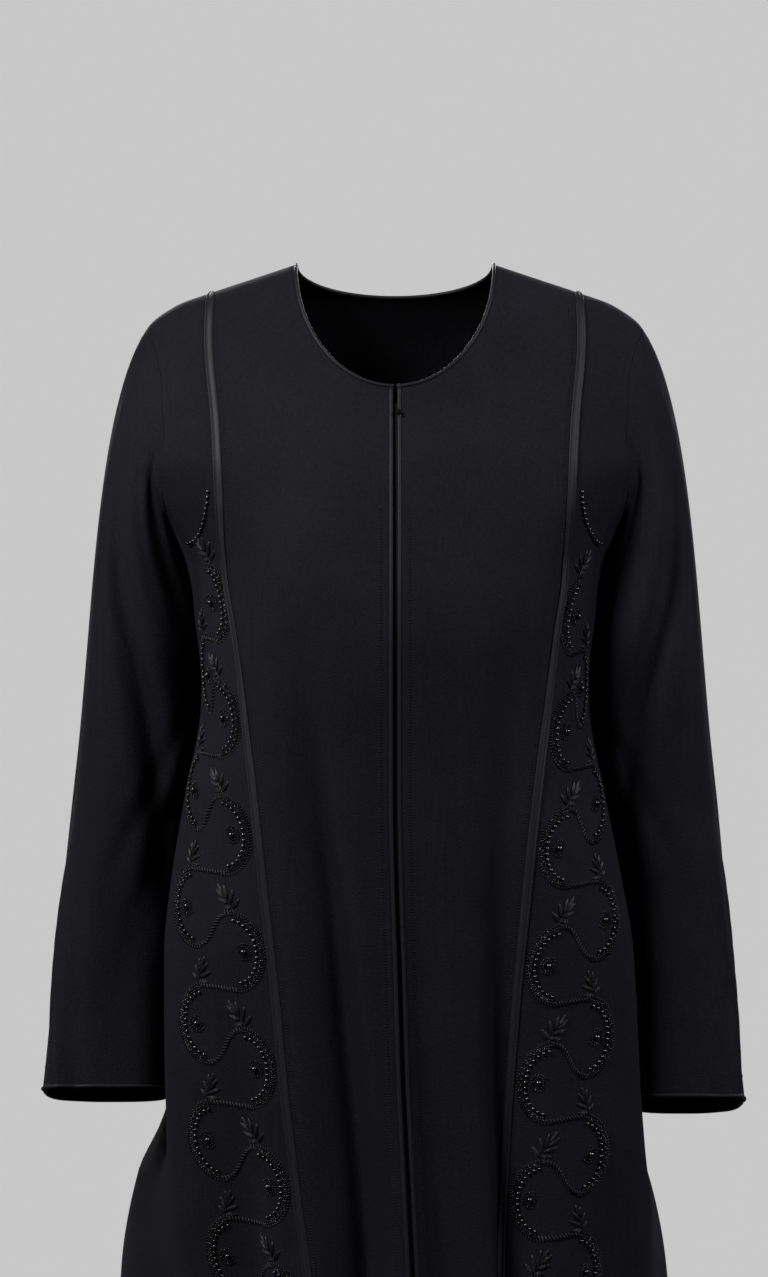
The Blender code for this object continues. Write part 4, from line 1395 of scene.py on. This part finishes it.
SPRIG_LEAN = {-1: 30, 1: -22}
SPRIG_SIZES = (1.1, 1.0)  # in turn
SPRIG_ASIDE = 3.5  # its foot, from the loop's top towards the bulge, and above it
SPRIG_ABOVE = 3.0
GARLAND_AWAY = (9.0, 38.0)  # from the band's middle, at its start and end
GARLAND_DROP = (176.0, 214.0)
GARLAND_BEAD_RADIUS = 1.3
GARLAND_SPACING = 4.0
GARLAND_THREAD = (1.4, 2.2)  # outward and down from the beads


def sew_arc(cord, knots, beads, side, loop):
    """The rows of stitches, knots and beads along one loop."""
    line = arc(loop, *ARC_COUCHING_PLACE)
    points, normals = laid(side, line, COUCHING_STEP, ARC_COUCHING_LIFT)
    stitches(cord, points, normals, ARC_COUCHING)
    for rows, heap, shape in (
        (KNOT_ROWS, knots, KNOT),
        (SEED_ROWS, beads, SEED_BALL),
        ((BEAD_ROW,), beads, BEAD_BALL),
    ):
        for row in rows:
            line = arc(loop, row.start, row.end, row.inset)
            bead_line(heap, side, line, row.spacing, row.radius, shape)


def sew_eye(knots, beads, side, loop):
    """One large bead in a swirl of knots and seed beads, open away from the loop's bulge."""
    eye = loop.out + loop.bulge * (loop.half_out - EYE_INSET)
    centre, normals = on_side_front(side, np.array([eye]), np.array([loop.drop]), EYE_LIFT)
    add_beads(beads, centre, normals, EYE_RADIUS)
    for swirls, heap, shape in ((KNOT_SWIRLS, knots, KNOT), ((SEED_SWIRL,), beads, SEED_BALL)):
        for swirl in swirls:
            opening = EYE_OPENS[loop.bulge] if swirl.share < 1 else 0
            line = circle(eye, loop.drop, swirl.radius, opening + swirl.start, swirl.share)
            bead_line(heap, side, line, swirl.spacing, swirl.size, shape)


def sew_garland(cord, beads, side):
    """Beads above the first loop, from beside the band to the armhole, with a thread below."""
    u = np.linspace(0, 1, 30)
    away, drop = mix(*GARLAND_AWAY, u**1.5), mix(*GARLAND_DROP, np.sin(u * np.pi / 2))
    garland = np.stack([away, drop], -1)
    bead_line(beads, side, garland, GARLAND_SPACING, GARLAND_BEAD_RADIUS)
    wind(cord, side, garland + np.array(GARLAND_THREAD), STEM_RADIUS)


def build_vine(side):
    """Cord, leaves and beads of one side front."""
    loops = vine_loops(side)
    cord, knots, leaves, beads = Heap(), Heap(), Heap(), Heap()
    for number, loop in enumerate(loops):
        sew_arc(cord, knots, beads, side, loop)
        sew_eye(knots, beads, side, loop)
        out = loop.out + loop.bulge * SPRIG_ASIDE
        foot = np.array([out, loop.drop - LOOP_HALF_DOWN - SPRIG_ABOVE])
        lean = math.radians(SPRIG_LEAN[loop.bulge])
        sprig(leaves, side, foot, lean, SPRIG_SIZES[number % 2])
    for line in links(loops):
        # slanted stitches side by side, as if over a padding thread
        points, normals = laid(side, line, COUCHING_STEP, LINK_COUCHING_LIFT)
        stitches(cord, points, normals, LINK_COUCHING)
    sew_garland(cord, beads, side)
    word = WORDS[side]
    return [
        cord.sew("couched_vine_" + word, "cord"),
        knots.sew("knotted_vine_" + word, "knot"),
        leaves.sew("satin_leaves_" + word, "leaf"),
        beads.sew("glass_beads_" + word, "bead"),
    ]


def build_edge_piping(fronts, side):
    edge, normals, inside = fronts["edge", side]
    path = beside(edge, normals, inside, PIPING_SEAT)
    path[0] = path[0] + unit(path[1] - path[0]) * SEAM_GAP
    return add_piping("edge_piping_" + WORDS[side], path, normals, EDGE_PIPING_SIDES)


def build_neck_piping(fronts, back_neck):
    right, left = fronts["neck", -1], fronts["neck", 1]
    edge, normals, inside = (
        np.concatenate([right[i], back_neck[i][1:-1], left[i][::-1]]) for i in (0, 1, 2)
    )
    path = beside(edge, normals, inside, PIPING_SEAT)
    first, last = path[0].copy(), path[-1].copy()
    first[0], last[0] = -FRONT_OPENING / 2, FRONT_OPENING / 2
    path = np.concatenate([[first], path, [last]])
    normals = np.concatenate([normals[:1], normals, normals[-1:]])
    add_piping("neck_piping", path, normals, PIPING_SIDES)


PLACKET_TOP = 109.0
PLACKET_UNDER = 6.0  # how far it goes under each front
PLACKET_BEHIND = 2.0
PLACKET_CLOTH = 0.9


def build_placket():
    """The underlap behind the piped edges."""
    yoke = np.linspace(PLACKET_TOP, ARMPIT_DROP, 30)
    drops = np.concatenate([yoke, np.linspace(ARMPIT_DROP, LENGTH, SKIRT_ROWS)[1:]])
    half = centre_x("front") + PLACKET_UNDER
    x, drop = np.meshgrid(np.linspace(-half, half, 9), drops)
    angle = section_lean(np.abs(x), drop, "front") * np.sign(x)
    normals = body_normal(angle, drop)
    points = body(angle, drop) - normals * PLACKET_BEHIND
    piece = add_wall("cloth_placket", points, normals, PLACKET_CLOTH, "crepe", 1)
    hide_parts("placket")
    return piece


SNAP_SEAT_RADIUS = 2.2
SNAP_SEAT_BEHIND = 0.9
SNAP_SEAT_BEADS = 8
SNAP_SEAT_BEAD_RADIUS = 0.35


def build_snap():
    """The faceted bead that fastens the top of the opening, in a seat of tiny ones."""
    low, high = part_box("snap")
    middle = np.array((low + high) / 2) / MM
    heap = Heap()
    points, faces = ball(14, 9)
    size = np.array((high - low) / 2) / MM
    heap.add(middle + points * size, faces)
    points, faces = SEED_BALL
    for a in np.linspace(0, 2 * np.pi, SNAP_SEAT_BEADS, endpoint=False):
        x, z = math.cos(a) * SNAP_SEAT_RADIUS, math.sin(a) * SNAP_SEAT_RADIUS
        place = middle + np.array([x, SNAP_SEAT_BEHIND, z])
        heap.add(place + points * SNAP_SEAT_BEAD_RADIUS, faces)
    piece = heap.sew("glass_snap", "bead", smooth_faces=False)
    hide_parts("snap")


Cut = namedtuple("Cut", "width length area")  # metres, of the cloth that shows laid flat


def build_abaya():
    fronts = build_fronts()
    back, back_neck = build_back()
    sleeves, bands, vines, pipings = {}, {}, {}, {}
    for side in WORDS:
        sleeves[side] = build_sleeve(side)
        build_cuff_stitching(side, sleeves[side][2], sleeves[side][3])
        bands[side] = build_band(side)
        vines[side] = build_vine(side)
        pipings[side] = build_edge_piping(fronts, side)
        build_stitching(side)
    build_neck_piping(fronts, back_neck)
    placket = build_placket()
    build_snap()


# Studio


AMBIENT = 0.055
LAMPS_AIM = Vector((0, 0, -0.4))
Lamp = namedtuple("Lamp", "name place size power tint")
LAMPS = (
    Lamp("soft box on the left", (-1.5, -1.35, 1.35), 0.9, 53.0, "#fffdfa"),
    Lamp("soft box on the right", (1.9, -1.1, 1.15), 0.8, 28.0, "#f6f8ff"),
    Lamp("rim light on the left", (-2.4, -0.1, 0.3), 0.6, 9.0, "#fffdfa"),
    Lamp("rim light on the right", (2.3, 0.0, 0.6), 0.6, 8.0, "#f6f8ff"),
    Lamp("behind on the left", (-0.9, 2.5, 1.2), 0.9, 38.0, "#fffdfa"),
    Lamp("behind on the right", (1.1, 2.4, 0.9), 0.8, 20.0, "#f6f8ff"),
)


def build_studio():
    world = bpy.data.worlds.new("grey surround")
    bpy.context.scene.world = world
    world.use_nodes = True
    tree = world.node_tree
    seen = tree.nodes["Background"]
    seen.inputs["Color"].default_value = colour("#c8c8c8")
    # the surround is seen bright but lights the cloth little, as a far wall does
    lighting = add_node(tree, "ShaderNodeBackground", Color=colour("#c8c8d0"), Strength=AMBIENT)
    path = add_node(tree, "ShaderNodeLightPath")
    both = add_node(
        tree,
        "ShaderNodeMixShader",
        _0=path.outputs["Is Camera Ray"],
        _1=lighting.outputs["Background"],
        _2=seen.outputs["Background"],
    )
    tree.links.new(both.outputs["Shader"], tree.nodes["World Output"].inputs["Surface"])
    for lamp in LAMPS:
        light = bpy.data.lights.new(lamp.name, "AREA")
        light.size = lamp.size
        light.energy = lamp.power
        light.color = colour(lamp.tint)[:3]
        made = bpy.data.objects.new(lamp.name, light)
        bpy.context.scene.collection.objects.link(made)
        made.location = lamp.place
        aim = LAMPS_AIM - made.location
        made.rotation_euler = aim.to_track_quat("-Z", "Y").to_euler()


CAMERA_DISTANCE = 3.2
FRAME_HEIGHT = 0.977  # what the picture takes in at the origin's distance
CAMERA_X = -0.0083
CAMERA_Z = -0.2857
SENSOR = 36.0  # millimetres, along the picture's long side


def build_camera():
    camera = bpy.data.cameras.new("camera")
    camera.sensor_width = SENSOR
    camera.lens = SENSOR * CAMERA_DISTANCE / FRAME_HEIGHT
    camera.clip_end = 60
    made = bpy.data.objects.new("camera", camera)
    bpy.context.scene.collection.objects.link(made)
    made.location = (CAMERA_X, -CAMERA_DISTANCE, CAMERA_Z)
    made.rotation_euler = (math.radians(90), 0, 0)
    bpy.context.scene.camera = made


bpy.context.scene.view_settings.view_transform = "Standard"
build_abaya()
build_studio()
build_camera()
